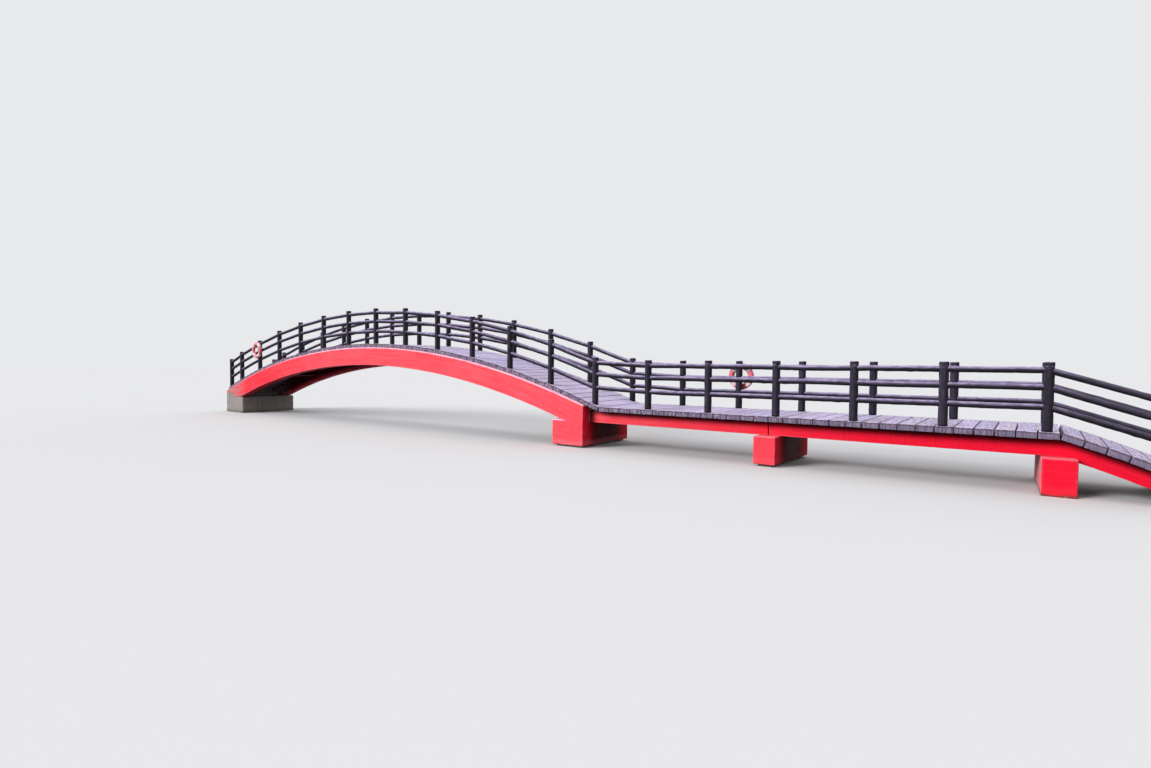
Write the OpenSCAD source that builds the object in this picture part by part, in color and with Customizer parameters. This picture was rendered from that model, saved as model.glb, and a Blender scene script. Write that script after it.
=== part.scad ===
/* [Deck] */
// Length of a plank, which is the width of the deck
deck_w = 2040; // [1600:10:2600]
// Thickness of a plank
plank_t = 120; // [80:5:150]
// Open joint between two planks
plank_gap = 12; // [5:1:16]
// Bevel along the long top edges of a plank
plank_bevel = 8; // [3:1:14]
// Height of the flat deck over the feet of the piers
deck_h = 1050; // [900:10:1500]

/* [Arch span] */
// Distance between the two points where the arched deck meets the level of the flat deck
arch_chord = 18220; // [16000:20:19500]
// Rise of the arched deck over the flat deck
arch_rise = 1641; // [1400:1:1900]
// Length of the arched deck that runs on below that level at the far end
arch_tail = 206; // [100:2:320]
// Spacing of the planks along the arch, before it is evened out
arch_plank_l = 294; // [280:1:310]
// Depth of an arch rib, square to its curve
rib_d = 580; // [450:10:650]
// Width of an arch rib
rib_w = 300; // [200:10:400]
// Ledge of a rib beyond the plank ends
rib_ledge = 60; // [20:5:120]
// Number of cross beams between the ribs
tie_count = 5; // [3:1:7]
// Angle on the arch between two cross beams
tie_step = 6.6; // [5:0.1:7]
// Width of a cross beam
tie_w = 220; // [150:10:300]
// Depth of a cross beam
tie_d = 320; // [200:10:380]
// Top of a cross beam below the top of the ribs
tie_drop = 60; // [20:5:100]

/* [Flat spans and ramp] */
// Number of planks on the flat deck
flat_planks = 30; // [28:1:32]
// Spacing of the planks on the flat deck and the ramp
plank_pitch = 300; // [280:1:320]
// Number of planks on the ramp
ramp_planks = 6; // [6:1:7]
// Slope of the first plank of the ramp
ramp_slope = 18; // [14:0.5:19]
// Slope that each further plank of the ramp adds
ramp_bend = 1; // [0:0.1:1.5]
// Width of a beam
beam_w = 250; // [180:5:320]
// Depth of a flat beam
beam_d = 300; // [220:5:340]
// Distance from the plank ends in to the outer face of a beam
beam_inset = 250; // [120:5:320]
// Movement joint between the beams over the middle pier
beam_joint = 10; // [5:1:20]

/* [Piers] */
// Length of the arch pier along the bridge
arch_pier_l = 960; // [800:10:1100]
// Distance from the end of the arched deck back to the face of the arch pier
arch_pier_back = 420; // [300:10:480]
// Shoulder of the arch pier below the flat deck
arch_pier_drop = 360; // [320:5:420]
// Thickness of the head wall between the ribs on the arch pier
head_wall_t = 300; // [200:10:400]
// Length of the middle pier along the bridge
middle_pier_l = 475; // [350:5:600]
// Distance from the end of the arched deck to the centre of the middle pier
middle_pier_x = 4130; // [3500:10:4800]
// Turn of the middle pier, seen from above, about the middle of its near face
middle_pier_turn = -2.1; // [-4:0.1:4]
// Length of the shore pier along the bridge
shore_pier_l = 490; // [350:5:600]
// Turn of the shore pier, seen from above, about the middle of its near face
shore_pier_turn = 2.5; // [-4:0.1:4]
// Reach of the middle and shore piers beyond the plank ends
pier_reach = 10; // [0:5:60]
// Height of the recessed foot under a pier
foot_h = 40; // [20:5:80]
// Recess of the foot behind the faces of its pier
foot_inset = 90; // [40:5:140]
// Bevel on the corners of piers
pier_bevel = 18; // [8:1:30]

/* [Abutments] */
// Length of the arch abutment along the bridge
thrust_l = 1320; // [1100:10:1600]
// Seat of the arch ribs below the flat deck
thrust_drop = 410; // [380:5:450]
// Height of the raised step at the back of that seat
thrust_step_h = 115; // [60:5:140]
// Length of the raised step
thrust_step_l = 620; // [400:10:760]
// Length of the shore abutment along the bridge
sill_l = 470; // [400:10:600]
// Thickness of the wall that closes the end between the ribs
back_wall_t = 180; // [120:10:200]
// Distance that the abutments run past the last planks
end_margin = 12; // [5:1:30]

/* [Railing] */
// Height of a post over the deck
post_h = 1150; // [1080:10:1250]
// Diameter of the shaft of a post
post_d = 160; // [140:2:180]
// Diameter of the cap of a post
post_cap_d = 170; // [162:2:190]
// Height of the cap of a post
post_cap_h = 96; // [60:2:110]
// Rounding of the top edge of the cap
post_cap_round = 14; // [6:1:24]
// Distance from the plank ends in to the middle of a post
post_inset = 122; // [100:2:180]
// Distance from the end of a straight stretch back to its first post
post_offset = 180; // [150:5:190]
// Distance from the end of the arched deck to the last post
end_post_in = 110; // [100:5:140]
// Number of planks from one post to the next
planks_per_bay = 5; // [5:1:6]
// Least number of planks from a regular post to the last one
end_bay_planks = 2.5; // [2:0.5:3]
// Diameter of a rail
rail_d = 100; // [80:2:120]
// Height of the middle of the low rail over the deck
low_rail_h = 400; // [300:10:450]
// Height of the middle of the middle rail over the deck
mid_rail_h = 725; // [650:5:760]
// Height of the middle of the top rail over the deck
top_rail_h = 1010; // [950:5:1010]

/* [Lifebuoys] */
// Outer diameter of a lifebuoy
buoy_d = 640; // [560:10:720]
// Width of its ring, from the inner to the outer edge
buoy_w = 145; // [120:5:180]
// Thickness of its ring
buoy_t = 100; // [80:2:110]
// Height of its middle over the deck
buoy_h = 765; // [720:5:790]
// Post that carries the lifebuoy on the near side, counted back from the end of the arch
near_buoy_post_number = 2; // [1:1:6]
// Post that carries the lifebuoy on the far side, counted from the ramp
far_buoy_post_number = 5; // [1:1:6]
// Width of a reflecting band on the ring, as an angle
band_angle = 24; // [15:1:35]
// Thickness of a reflecting band
band_t = 1.5; // [1:0.5:3]
// Diameter of the bar of a hook
hook_d = 14; // [10:1:18]
// Height of the upturned tip of a hook
hook_tip = 45; // [30:1:60]
// Step from the bar of a hook in to its thinner tip
hook_step = 1; // [0.5:0.5:2]
// Side length of the plate of a hook
hook_plate = 60; // [40:2:70]
// Clearance between a lifebuoy and what it hangs on
buoy_clear = 0.3; // [0.2:0.1:0.6]

/* [Hidden] */

// Colours of the painted concrete, the moulded timber pattern and the fittings
RED = [0.86, 0.13, 0.22];
GREY = [0.56, 0.54, 0.56];
LOG = [0.22, 0.20, 0.27];
PLANK = [0.62, 0.59, 0.66];
ORANGE = [0.95, 0.42, 0.25];
STEEL = [0.55, 0.56, 0.58];

// Sides of the near and far railing along Y
NEAR = -1;
FAR = 1;

// Facets that stand for a true circle
FINE = 48;
VERY_FINE = 720;
// How far a cutting body reaches past the faces that it cuts
OVER = 1;

// Curve of the arch, seen from the side: radius and angles from the crown
deck_r = (arch_chord * arch_chord / 4 + arch_rise * arch_rise) / (2 * arch_rise);
rib_top_r = deck_r - plank_t;
rib_low_r = rib_top_r - rib_d;
kink_angle = asin(arch_chord / 2 / deck_r);
tail_angle = kink_angle + arch_tail / deck_r * 180 / PI;
arch_len = (kink_angle + tail_angle) * PI / 180 * deck_r;
arch_planks = round(arch_len / arch_plank_l);
arch_pitch = arch_len / arch_planks;

// Ramp, seen from the end of the flat deck: slope of a plank, top corner before a plank, and
// the corner of the underside below it. The first plank stands back to clear the flat deck.
function ramp_angle(k) = ramp_slope + k * ramp_bend;
function ramp_corner(k) = k == 0
  ? [plank_t * sin(ramp_slope), 0]
  : ramp_corner(k - 1) + plank_pitch * [cos(ramp_angle(k - 1)), -sin(ramp_angle(k - 1))];
function ramp_under(k) =
  let (fold = k == 0 || k == ramp_planks ? 0 : ramp_bend / 2, a = ramp_angle(max(k - 1, 0)) + fold)
    ramp_corner(k) - plank_t / cos(fold) * [sin(a), cos(a)];
ramp_run = ramp_corner(ramp_planks)[0];
ramp_end_slope = ramp_angle(ramp_planks - 1);

// Stations along X from the left end to the right end
arch_run = deck_r * (sin(tail_angle) + sin(kink_angle));
flat_run = flat_planks * plank_pitch;
total_l = end_margin + arch_run + flat_run + ramp_run + end_margin;
x_left = -total_l / 2;
x_right = total_l / 2;
x_bend = x_left + end_margin + arch_run;
x_ramp = x_bend + flat_run;
x_crown = x_bend - arch_chord / 2;
z_centre = deck_h + arch_rise - deck_r;

// Faces across Y
half_w = deck_w / 2;
rib_out = half_w + rib_ledge;
rib_in = rib_out - rib_w;
beam_out = half_w - beam_inset;
pier_out = half_w + pier_reach;
post_y = half_w - post_inset;

// Pier faces and beam levels
arch_pier_x1 = x_bend - arch_pier_back;
arch_pier_x0 = arch_pier_x1 - arch_pier_l;
x_middle = x_bend + middle_pier_x;
z_beam_top = deck_h - plank_t;
z_beam_low = z_beam_top - beam_d;
sill_x0 = x_right - sill_l;
// Corners of the underside of the ramp planks, and its height at a station
ramp_line = [for (k = [0 : ramp_planks]) [x_ramp, deck_h] + ramp_under(k)];
function ramp_low_z(x) = lookup(x, ramp_line);
// Upright depth of a ramp beam, whose underside starts level with that of the flat beams
ramp_beam_d = ramp_low_z(x_ramp) - z_beam_low;

// Planks of the middle pier's two flat spans, counted from the arch
inner_planks = floor(middle_pier_x / plank_pitch);

// Thirds of the arch, in planks from its right end
arch_third = round(arch_planks / 3);

// Posts are counted from the foot of the ramp: the ramp has one, then the flat deck, then the arch
flat_bay = planks_per_bay * plank_pitch;
arch_bay = planks_per_bay * arch_pitch;
first_flat_post = 1;
first_arch_post = first_flat_post + ceil((flat_run - post_offset) / flat_bay);
last_post_s = arch_len - end_post_in;
shortest_bay = end_bay_planks * arch_pitch;
regular_posts = 1 + floor((last_post_s - shortest_bay - post_offset) / arch_bay);
end_post = first_arch_post + regular_posts;
crown_post = first_arch_post + round(regular_posts / 3);
left_post = first_arch_post + round(2 * regular_posts / 3);
near_buoy_post = end_post - near_buoy_post_number;

// Distance along the arch from its right end to a post
function post_s(i) = i == end_post ? last_post_s : post_offset + (i - first_arch_post) * arch_bay;
// Plank that carries a post of the arch, and the angle of that plank
function carrier(s) = floor(s / arch_pitch);
function plank_angle(k) = kink_angle - (k + 0.5) * arch_pitch / deck_r * 180 / PI;
// Foot of the ramp's post, on its last plank, seen from the end of the flat deck
ramp_post = ramp_corner(ramp_planks) - post_offset * [cos(ramp_end_slope), -sin(ramp_end_slope)];
// Station of a post, the angle of the deck under it and the height of the deck there
function post_x(i) = i < first_flat_post
  ? x_ramp + ramp_post[0]
  : i < first_arch_post
    ? x_ramp - post_offset - (i - first_flat_post) * flat_bay
    : x_crown + deck_r * sin(kink_angle - post_s(i) / deck_r * 180 / PI);
function post_tilt(i) = i < first_flat_post
  ? ramp_end_slope
  : i < first_arch_post ? 0 : plank_angle(carrier(post_s(i)));
function arch_top_z(x, a) = z_centre + (deck_r - (x - x_crown) * sin(a)) / cos(a);
function post_z(i) = i < first_flat_post
  ? deck_h + ramp_post[1]
  : i < first_arch_post ? deck_h : arch_top_z(post_x(i), post_tilt(i));

// Posts reach below the deck surface by this much before their feet are cut to it
foot_cut = post_d;

// Ring of a lifebuoy, rounded inside and outside, and the bar that it hangs on
ring_in = buoy_d / 2 - buoy_w;
ring_y = post_y + post_d / 2 + buoy_clear + buoy_t / 2;
bar_z = ring_in - buoy_clear - hook_d / 2;
plate_t = hook_d / 2;

// A bar with a flat profile in X and Z, which runs across the bridge from y0 to y1
module across(y0, y1) {
  translate([0, y1, 0]) rotate([90, 0, 0]) linear_extrude(height = y1 - y0) children();
}

// A box with bevels along all its edges but those of its underside
module bevelled_block(x0, x1, y, z0, z1, b) {
  intersection() {
    translate([0, 0, z0]) linear_extrude(height = z1 - z0)
      polygon([
        [x0 + b, -y], [x1 - b, -y], [x1, -y + b], [x1, y - b],
        [x1 - b, y], [x0 + b, y], [x0, y - b], [x0, -y + b]
      ]);
    across(-y, y)
      polygon([[x0, z0], [x1, z0], [x1, z1 - b], [x1 - b, z1], [x0 + b, z1], [x0, z1 - b]]);
    translate([x0, 0, 0]) rotate([90, 0, 90]) linear_extrude(height = x1 - x0)
      polygon([[-y, z0], [y, z0], [y, z1 - b], [y - b, z1], [-y + b, z1], [-y, z1 - b]]);
  }
}

// A disc round the centre of the arch, from y0 to y1, with a corner of its facets at station x
module arch_disc(r, y0, y1, x = x_crown) {
  translate([x_crown, y1, z_centre]) rotate([90, 0, 0]) rotate([0, 0, acos((x - x_crown) / r)])
    cylinder(h = y1 - y0, r = r, $fn = VERY_FINE);
}

// Outline that a rib is cut to: upright at its ends, stepped where it stands on the abutment
module rib_window() {
  seat = deck_h - thrust_drop;
  step_x = x_left + thrust_step_l;
  polygon([
    [x_left, seat + thrust_step_h], [step_x, seat + thrust_step_h], [step_x, seat],
    [x_crown, seat], [x_crown, 0], [arch_pier_x1, 0],
    [arch_pier_x1, deck_h + arch_rise], [x_left, deck_h + arch_rise]
  ]);
}

module rib(side) {
  y0 = side > 0 ? rib_in : -rib_out;
  y1 = y0 + rib_w;
  color(RED) difference() {
    intersection() {
      across(y0, y1) rib_window();
      arch_disc(rib_top_r, y0 - OVER, y1 + OVER);
    }
    arch_disc(rib_low_r, y0 - OVER, y1 + OVER, arch_pier_x1);
  }
}

// Cross beams that tie the two ribs together under the deck
module arch_cross_beams() {
  color(RED)
    for (k = [0 : tie_count - 1])
      translate([x_crown, 0, z_centre])
        rotate([0, (k - (tie_count - 1) / 2) * tie_step, 0])
          translate([-tie_w / 2, -rib_in, rib_top_r - tie_drop - tie_d])
            cube([tie_w, 2 * rib_in, tie_d]);
}

// Thrust block that the ribs stand on, with a wall that closes the end between them
module arch_abutment() {
  seat = deck_h - thrust_drop;
  x1 = x_left + thrust_l;
  color(GREY) {
    across(-rib_out, rib_out)
      polygon([
        [x_left, 0], [x1, 0], [x1, seat], [x_left + thrust_step_l, seat],
        [x_left + thrust_step_l, seat + thrust_step_h], [x_left, seat + thrust_step_h]
      ]);
    intersection() {
      translate([x_left, -rib_in, seat])
        cube([back_wall_t, 2 * rib_in, deck_h - seat]);
      arch_disc(rib_top_r, -rib_in - OVER, rib_in + OVER, x_left + back_wall_t);
    }
  }
}

// Block that the ribs run down into, with a head wall between them for the beams
module arch_pier() {
  z1 = deck_h - arch_pier_drop;
  color(RED) {
    difference() {
      bevelled_block(arch_pier_x0, arch_pier_x1, rib_out, foot_h, z1, pier_bevel);
      rib(NEAR);
      rib(FAR);
    }
    intersection() {
      translate([arch_pier_x1 - head_wall_t, -rib_in, foot_h])
        cube([head_wall_t, 2 * rib_in, deck_h]);
      arch_disc(rib_top_r, -rib_in - OVER, rib_in + OVER);
    }
  }
}

module pier_foot(x0, x1, y) {
  color(GREY)
    translate([x0 + foot_inset, -y + foot_inset, 0])
      cube([x1 - x0 - 2 * foot_inset, 2 * (y - foot_inset), foot_h]);
}

module arch_pier_foot() {
  pier_foot(arch_pier_x0, arch_pier_x1, rib_out);
}

// Turns a pier at station x about the middle of its near face
module turned(x, angle) {
  translate([x, -pier_out, 0]) rotate([0, 0, angle]) translate([-x, pier_out, 0]) children();
}

module middle_pier() {
  l = middle_pier_l / 2;
  color(RED) turned(x_middle, middle_pier_turn)
    bevelled_block(x_middle - l, x_middle + l, pier_out, foot_h, z_beam_low, pier_bevel);
}

module middle_pier_foot() {
  turned(x_middle, middle_pier_turn)
    pier_foot(x_middle - middle_pier_l / 2, x_middle + middle_pier_l / 2, pier_out);
}

// Pier that the flat beams end on, with pockets for the ramp beams that start there
module shore_pier() {
  l = shore_pier_l / 2;
  color(RED) difference() {
    turned(x_ramp, shore_pier_turn)
      bevelled_block(x_ramp - l, x_ramp + l, pier_out, 0, z_beam_low, pier_bevel);
    ramp_beam(NEAR);
    ramp_beam(FAR);
  }
}

// Block under the foot of the ramp that the ramp beams run into, level behind the last plank
module shore_abutment() {
  color(GREY) across(-pier_out, pier_out)
    polygon(concat(
      [[x_right, 0], [sill_x0, 0], [sill_x0, ramp_low_z(sill_x0)]],
      [for (p = ramp_line) if (p[0] > sill_x0) p],
      [[x_right, ramp_low_z(x_right)]]
    ));
}

module flat_beam(side, x0, x1) {
  y0 = side > 0 ? beam_out - beam_w : -beam_out;
  color(RED) translate([x0, y0, z_beam_low]) cube([x1 - x0, beam_w, beam_d]);
}

module inner_beam(side) {
  flat_beam(side, arch_pier_x1, x_middle - beam_joint / 2);
}

module outer_beam(side) {
  flat_beam(side, x_middle + beam_joint / 2, x_ramp);
}

module ramp_beam(side) {
  y0 = side > 0 ? beam_out - beam_w : -beam_out;
  top = [for (p = ramp_line) if (p[0] < sill_x0) p];
  low = [for (k = [len(top) - 1 : -1 : 0]) top[k] - [0, ramp_beam_d]];
  end_z = ramp_low_z(sill_x0);
  color(RED) across(y0, y0 + beam_w)
    polygon(concat(top, [[sill_x0, end_z], [sill_x0, end_z - ramp_beam_d]], low));
}

// One plank across the bridge, its underside at Z 0 and its middle at X 0
module plank(pitch) {
  l = (pitch - plank_gap) / 2;
  b = plank_bevel;
  across(-half_w, half_w)
    polygon([[-l, 0], [l, 0], [l, plank_t - b], [l - b, plank_t], [-l + b, plank_t], [-l, plank_t - b]]);
}

module arch_plank_row(first, last) {
  color(PLANK)
    for (k = [first : last])
      translate([x_crown, 0, z_centre]) rotate([0, plank_angle(k), 0])
        translate([0, 0, rib_top_r]) plank(arch_pitch);
}

module flat_plank_row(first, last) {
  color(PLANK)
    for (k = [first : last])
      translate([x_bend + (k + 0.5) * plank_pitch, 0, z_beam_top]) plank(plank_pitch);
}

module planks_ramp() {
  color(PLANK)
    for (k = [0 : ramp_planks - 1])
      translate([x_ramp + ramp_corner(k)[0], 0, deck_h + ramp_corner(k)[1]])
        rotate([0, ramp_angle(k), 0]) translate([plank_pitch / 2, 0, -plank_t]) plank(plank_pitch);
}

// A post with its cap, standing on the deck at Z 0 and cut at its foot to a deck at angle a
module post(a) {
  r = post_d / 2;
  rc = post_cap_d / 2;
  c = post_cap_round;
  half_c = c * (1 - cos(45));
  lip = rc - r;
  difference() {
    rotate_extrude($fn = FINE)
      polygon([
        [0, -foot_cut], [r, -foot_cut], [r, post_h - post_cap_h], [rc, post_h - post_cap_h + lip],
        [rc, post_h - c], [rc - half_c, post_h - half_c], [rc - c, post_h], [0, post_h]
      ]);
    rotate([0, a, 0]) translate([-post_cap_d, -post_cap_d, -2 * foot_cut])
      cube([2 * post_cap_d, 2 * post_cap_d, 2 * foot_cut]);
  }
}

module post_row(side, first, last) {
  color(LOG)
    for (i = [first : last])
      translate([post_x(i), side * post_y, post_z(i)]) post(post_tilt(i));
}

// A round rail between two posts, its ends shaped to the posts
module rail(side, i, h) {
  p = [post_x(i), side * post_y, post_z(i) + h];
  q = [post_x(i + 1), side * post_y, post_z(i + 1) + h];
  run = p - q;
  difference() {
    translate(q) rotate([0, 90 - atan2(run[2], run[0]), 0]) cylinder(h = norm(run), d = rail_d, $fn = FINE);
    for (end = [p, q])
      translate(end - [0, 0, 2 * rail_d]) cylinder(h = 4 * rail_d, d = post_d, $fn = FINE);
  }
}

module rail_rows(side, first, last) {
  color(LOG)
    for (i = [first : last], h = [low_rail_h, mid_rail_h, top_rail_h])
      rail(side, i, h);
}

// Places its children at the middle of the lifebuoy on a post, with Y pointing outwards
module at_buoy(side, i) {
  translate([post_x(i), side * ring_y, post_z(i) + buoy_h])
    rotate([0, 0, side > 0 ? 0 : 180]) children();
}

// The ring, or a part of it from angle a0 on, grown by the thickness of what is wrapped round it
module ring(a0, a, wrap = 0) {
  r = buoy_t / 2;
  flat_w = buoy_w - buoy_t;
  rotate([90, 0, 0]) rotate([0, 0, a0])
    rotate_extrude(angle = a, $fn = FINE)
      translate([ring_in + r, 0]) {
        circle(r = r + wrap, $fn = FINE);
        translate([flat_w, 0]) circle(r = r + wrap, $fn = FINE);
        translate([0, -r - wrap]) square([flat_w, 2 * (r + wrap)]);
      }
}

// A ring buoy with four reflecting bands
module lifebuoy() {
  color(ORANGE) ring(0, 360);
  color("white")
    for (k = [0 : 3])
      ring(45 + 90 * k - band_angle / 2, band_angle, band_t);
}

module lifebuoys() {
  at_buoy(NEAR, near_buoy_post) lifebuoy();
  at_buoy(FAR, far_buoy_post_number) lifebuoy();
}

// A plate on the post and a bar under the top of the ring, with a thinner tip that stands on it
module hook() {
  y_tip = buoy_t / 2 + buoy_clear + hook_d / 2;
  y_end = y_tip + hook_d / 2;
  translate([0, -ring_y + post_y, bar_z]) rotate([-90, 0, 0])
    difference() {
      union() {
        translate([-hook_plate / 2, -hook_plate / 2, 0])
          cube([hook_plate, hook_plate, post_d / 2 + plate_t / 2]);
        cylinder(h = ring_y - post_y + y_end, d = hook_d, $fn = FINE);
      }
      translate([0, 2 * hook_plate, 0]) rotate([90, 0, 0])
        cylinder(h = 4 * hook_plate, d = post_d, $fn = FINE);
    }
  translate([0, y_tip, bar_z]) cylinder(h = hook_tip - hook_d / 2, d = hook_d - 2 * hook_step, $fn = FINE);
}

module lifebuoy_hooks() {
  color(STEEL) {
    at_buoy(NEAR, near_buoy_post) hook();
    at_buoy(FAR, far_buoy_post_number) hook();
  }
}

rib(NEAR);  // arch_rib_near
rib(FAR);  // arch_rib_far
arch_cross_beams();
arch_abutment();
arch_pier();
arch_pier_foot();
middle_pier();
middle_pier_foot();
shore_pier();
shore_abutment();
inner_beam(NEAR);  // inner_beam_near
inner_beam(FAR);  // inner_beam_far
outer_beam(NEAR);  // outer_beam_near
outer_beam(FAR);  // outer_beam_far
ramp_beam(NEAR);  // ramp_beam_near
ramp_beam(FAR);  // ramp_beam_far
arch_plank_row(0, arch_third - 1);  // planks_arch_right
arch_plank_row(arch_third, arch_planks - arch_third - 1);  // planks_arch_crown
arch_plank_row(arch_planks - arch_third, arch_planks - 1);  // planks_arch_left
flat_plank_row(0, inner_planks - 1);  // planks_inner_span
flat_plank_row(inner_planks, flat_planks - 1);  // planks_outer_span
planks_ramp();
post_row(NEAR, 0, 0);  // posts_near_ramp
post_row(NEAR, first_flat_post, first_arch_post - 1);  // posts_near_flat
post_row(NEAR, first_arch_post, crown_post - 1);  // posts_near_arch_right
post_row(NEAR, crown_post, left_post - 1);  // posts_near_arch_crown
post_row(NEAR, left_post, end_post);  // posts_near_arch_left
post_row(FAR, 0, 0);  // posts_far_ramp
post_row(FAR, first_flat_post, first_arch_post - 1);  // posts_far_flat
post_row(FAR, first_arch_post, crown_post - 1);  // posts_far_arch_right
post_row(FAR, crown_post, left_post - 1);  // posts_far_arch_crown
post_row(FAR, left_post, end_post);  // posts_far_arch_left
rail_rows(NEAR, 0, 0);  // rails_near_ramp
rail_rows(NEAR, first_flat_post, first_arch_post - 1);  // rails_near_flat
rail_rows(NEAR, first_arch_post, crown_post - 1);  // rails_near_arch_right
rail_rows(NEAR, crown_post, left_post - 1);  // rails_near_arch_crown
rail_rows(NEAR, left_post, end_post - 1);  // rails_near_arch_left
rail_rows(FAR, 0, 0);  // rails_far_ramp
rail_rows(FAR, first_flat_post, first_arch_post - 1);  // rails_far_flat
rail_rows(FAR, first_arch_post, crown_post - 1);  // rails_far_arch_right
rail_rows(FAR, crown_post, left_post - 1);  // rails_far_arch_crown
rail_rows(FAR, left_post, end_post - 1);  // rails_far_arch_left
lifebuoys();
lifebuoy_hooks();
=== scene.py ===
import math
from functools import partial, reduce

import bpy
import numpy as np
from mathutils import Matrix, Vector


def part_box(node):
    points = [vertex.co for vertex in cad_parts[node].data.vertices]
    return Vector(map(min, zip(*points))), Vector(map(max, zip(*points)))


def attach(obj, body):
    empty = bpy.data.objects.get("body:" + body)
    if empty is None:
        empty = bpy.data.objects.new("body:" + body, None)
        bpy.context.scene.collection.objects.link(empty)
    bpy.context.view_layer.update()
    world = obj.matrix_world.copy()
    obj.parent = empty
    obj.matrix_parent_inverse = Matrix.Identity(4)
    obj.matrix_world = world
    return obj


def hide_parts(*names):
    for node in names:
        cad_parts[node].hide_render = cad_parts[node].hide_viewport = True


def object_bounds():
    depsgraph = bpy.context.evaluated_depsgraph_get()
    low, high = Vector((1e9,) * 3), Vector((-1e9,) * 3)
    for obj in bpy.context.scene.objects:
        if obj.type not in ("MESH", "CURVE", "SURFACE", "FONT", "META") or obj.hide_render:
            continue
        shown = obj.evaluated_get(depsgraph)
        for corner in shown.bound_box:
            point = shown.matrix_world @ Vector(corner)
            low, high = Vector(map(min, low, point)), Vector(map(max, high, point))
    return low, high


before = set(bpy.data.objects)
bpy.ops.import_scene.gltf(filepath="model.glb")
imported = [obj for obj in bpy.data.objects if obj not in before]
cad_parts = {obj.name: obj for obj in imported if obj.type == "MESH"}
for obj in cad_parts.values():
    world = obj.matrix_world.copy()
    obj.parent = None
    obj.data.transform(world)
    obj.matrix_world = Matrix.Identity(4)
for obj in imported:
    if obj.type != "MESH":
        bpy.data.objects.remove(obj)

cad_low, cad_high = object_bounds()

# Camera: place and view in metres, angles in degrees, focal length in pixels of the photo's frame
PHOTO_WIDTH_PX = 1151
FOCAL_PX = 637.1
CAMERA_AT = (12.495, -13.937, 2.14)
CAMERA_YAW = -35.86
CAMERA_PITCH = -1.98
CAMERA_ROLL = 0.41
VIEW_DISTANCE = 600

# Driving sizes of the deck and its arch, in metres and degrees
ARCH_CHORD = 18.22
ARCH_RISE = 1.641
ARCH_TAIL = 0.206
ARCH_PLANK = 0.294
RIB_DEPTH = 0.58
PLANK_PITCH = 0.3
PLANK_GAP = 0.012
PLANK_BEVEL = 0.008
RAMP_PLANKS = 6
RAMP_SLOPE = math.radians(18)
RAMP_BEND = math.radians(1)
TIE_COUNT = 5
TIE_STEP = math.radians(6.6)
TIE_WIDTH = 0.22
TIE_DEPTH = 0.32
TIE_DROP = 0.06

# Driving sizes of the piers and abutments, turns in degrees
ARCH_PIER_DROP = 0.36
HEAD_WALL = 0.3
PIER_REACH = 0.01
MIDDLE_PIER_X = 4.13
MIDDLE_PIER_LENGTH = 0.475
MIDDLE_PIER_TURN = math.radians(-2.1)
SHORE_PIER_LENGTH = 0.49
SHORE_PIER_TURN = math.radians(2.5)
THRUST_DROP = 0.41
THRUST_STEP_LENGTH = 0.62
THRUST_STEP_HEIGHT = 0.115
BACK_WALL = 0.18

# Driving sizes of the railing
POST_RADIUS = 0.08
CAP_RADIUS = 0.085
CAP_HEIGHT = 0.096
POST_HEIGHT = 1.15
POST_INSET = 0.122
POST_OFFSET = 0.18
END_POST_IN = 0.11
PLANKS_PER_BAY = 5
END_BAY_PLANKS = 2.5
RAIL_RADIUS = 0.05
RAIL_HEIGHTS = (0.4, 0.725, 1.01)
FLAT_POSTS = 6

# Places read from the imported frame
flat_low, flat_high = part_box("planks_inner_span")
outer_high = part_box("planks_outer_span")[1]
half_w = flat_high.y
deck_z = flat_high.z
plank_t = flat_high.z - flat_low.z
pier_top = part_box("middle_pier")[1].z
rib_in = -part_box("arch_rib_near")[1].y
x_bend = flat_low.x - PLANK_GAP / 2
x_ramp = outer_high.x + PLANK_GAP / 2
flat_planks = round((x_ramp - x_bend) / PLANK_PITCH)
inner_planks = round((flat_high.x - flat_low.x) / PLANK_PITCH)

# Curve of the arch seen from the side
deck_r = (ARCH_CHORD ** 2 / 4 + ARCH_RISE ** 2) / (2 * ARCH_RISE)
rib_top_r = deck_r - plank_t
rib_low_r = rib_top_r - RIB_DEPTH
kink = math.asin(ARCH_CHORD / 2 / deck_r)
arch_length = 2 * kink * deck_r + ARCH_TAIL
arch_planks = round(arch_length / ARCH_PLANK)
arch_pitch = arch_length / arch_planks
arch_third = round(arch_planks / 3)
x_crown = x_bend - ARCH_CHORD / 2
z_centre = deck_z + ARCH_RISE - deck_r

# Stepped seat of the ribs on the left abutment
step_x = cad_low.x + THRUST_STEP_LENGTH
seat_z = deck_z - THRUST_DROP
step_z = seat_z + THRUST_STEP_HEIGHT

# Top corners between the planks of the ramp, and the corners of the underside below them
ramp_angles = [RAMP_SLOPE + k * RAMP_BEND for k in range(RAMP_PLANKS)]
ramp_tops = [(x_ramp + plank_t * math.sin(RAMP_SLOPE), deck_z)]
for angle in ramp_angles:
    x, z = ramp_tops[-1]
    ramp_tops.append((x + PLANK_PITCH * math.cos(angle), z - PLANK_PITCH * math.sin(angle)))
folds = [ramp_angles[0]] + [a + RAMP_BEND / 2 for a in ramp_angles[:-1]] + [ramp_angles[-1]]
ramp_unders = [(x - plank_t * math.sin(a), z - plank_t * math.cos(a)) for (x, z), a in zip(ramp_tops, folds)]


def srgb(red, green, blue):
    """A colour given on the 0 to 255 scale of a screen, as linear values."""
    values = [c / 255 for c in (red, green, blue)]
    return [c / 12.92 if c <= 0.04045 else ((c + 0.055) / 1.055) ** 2.4 for c in values] + [1.0]


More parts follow.
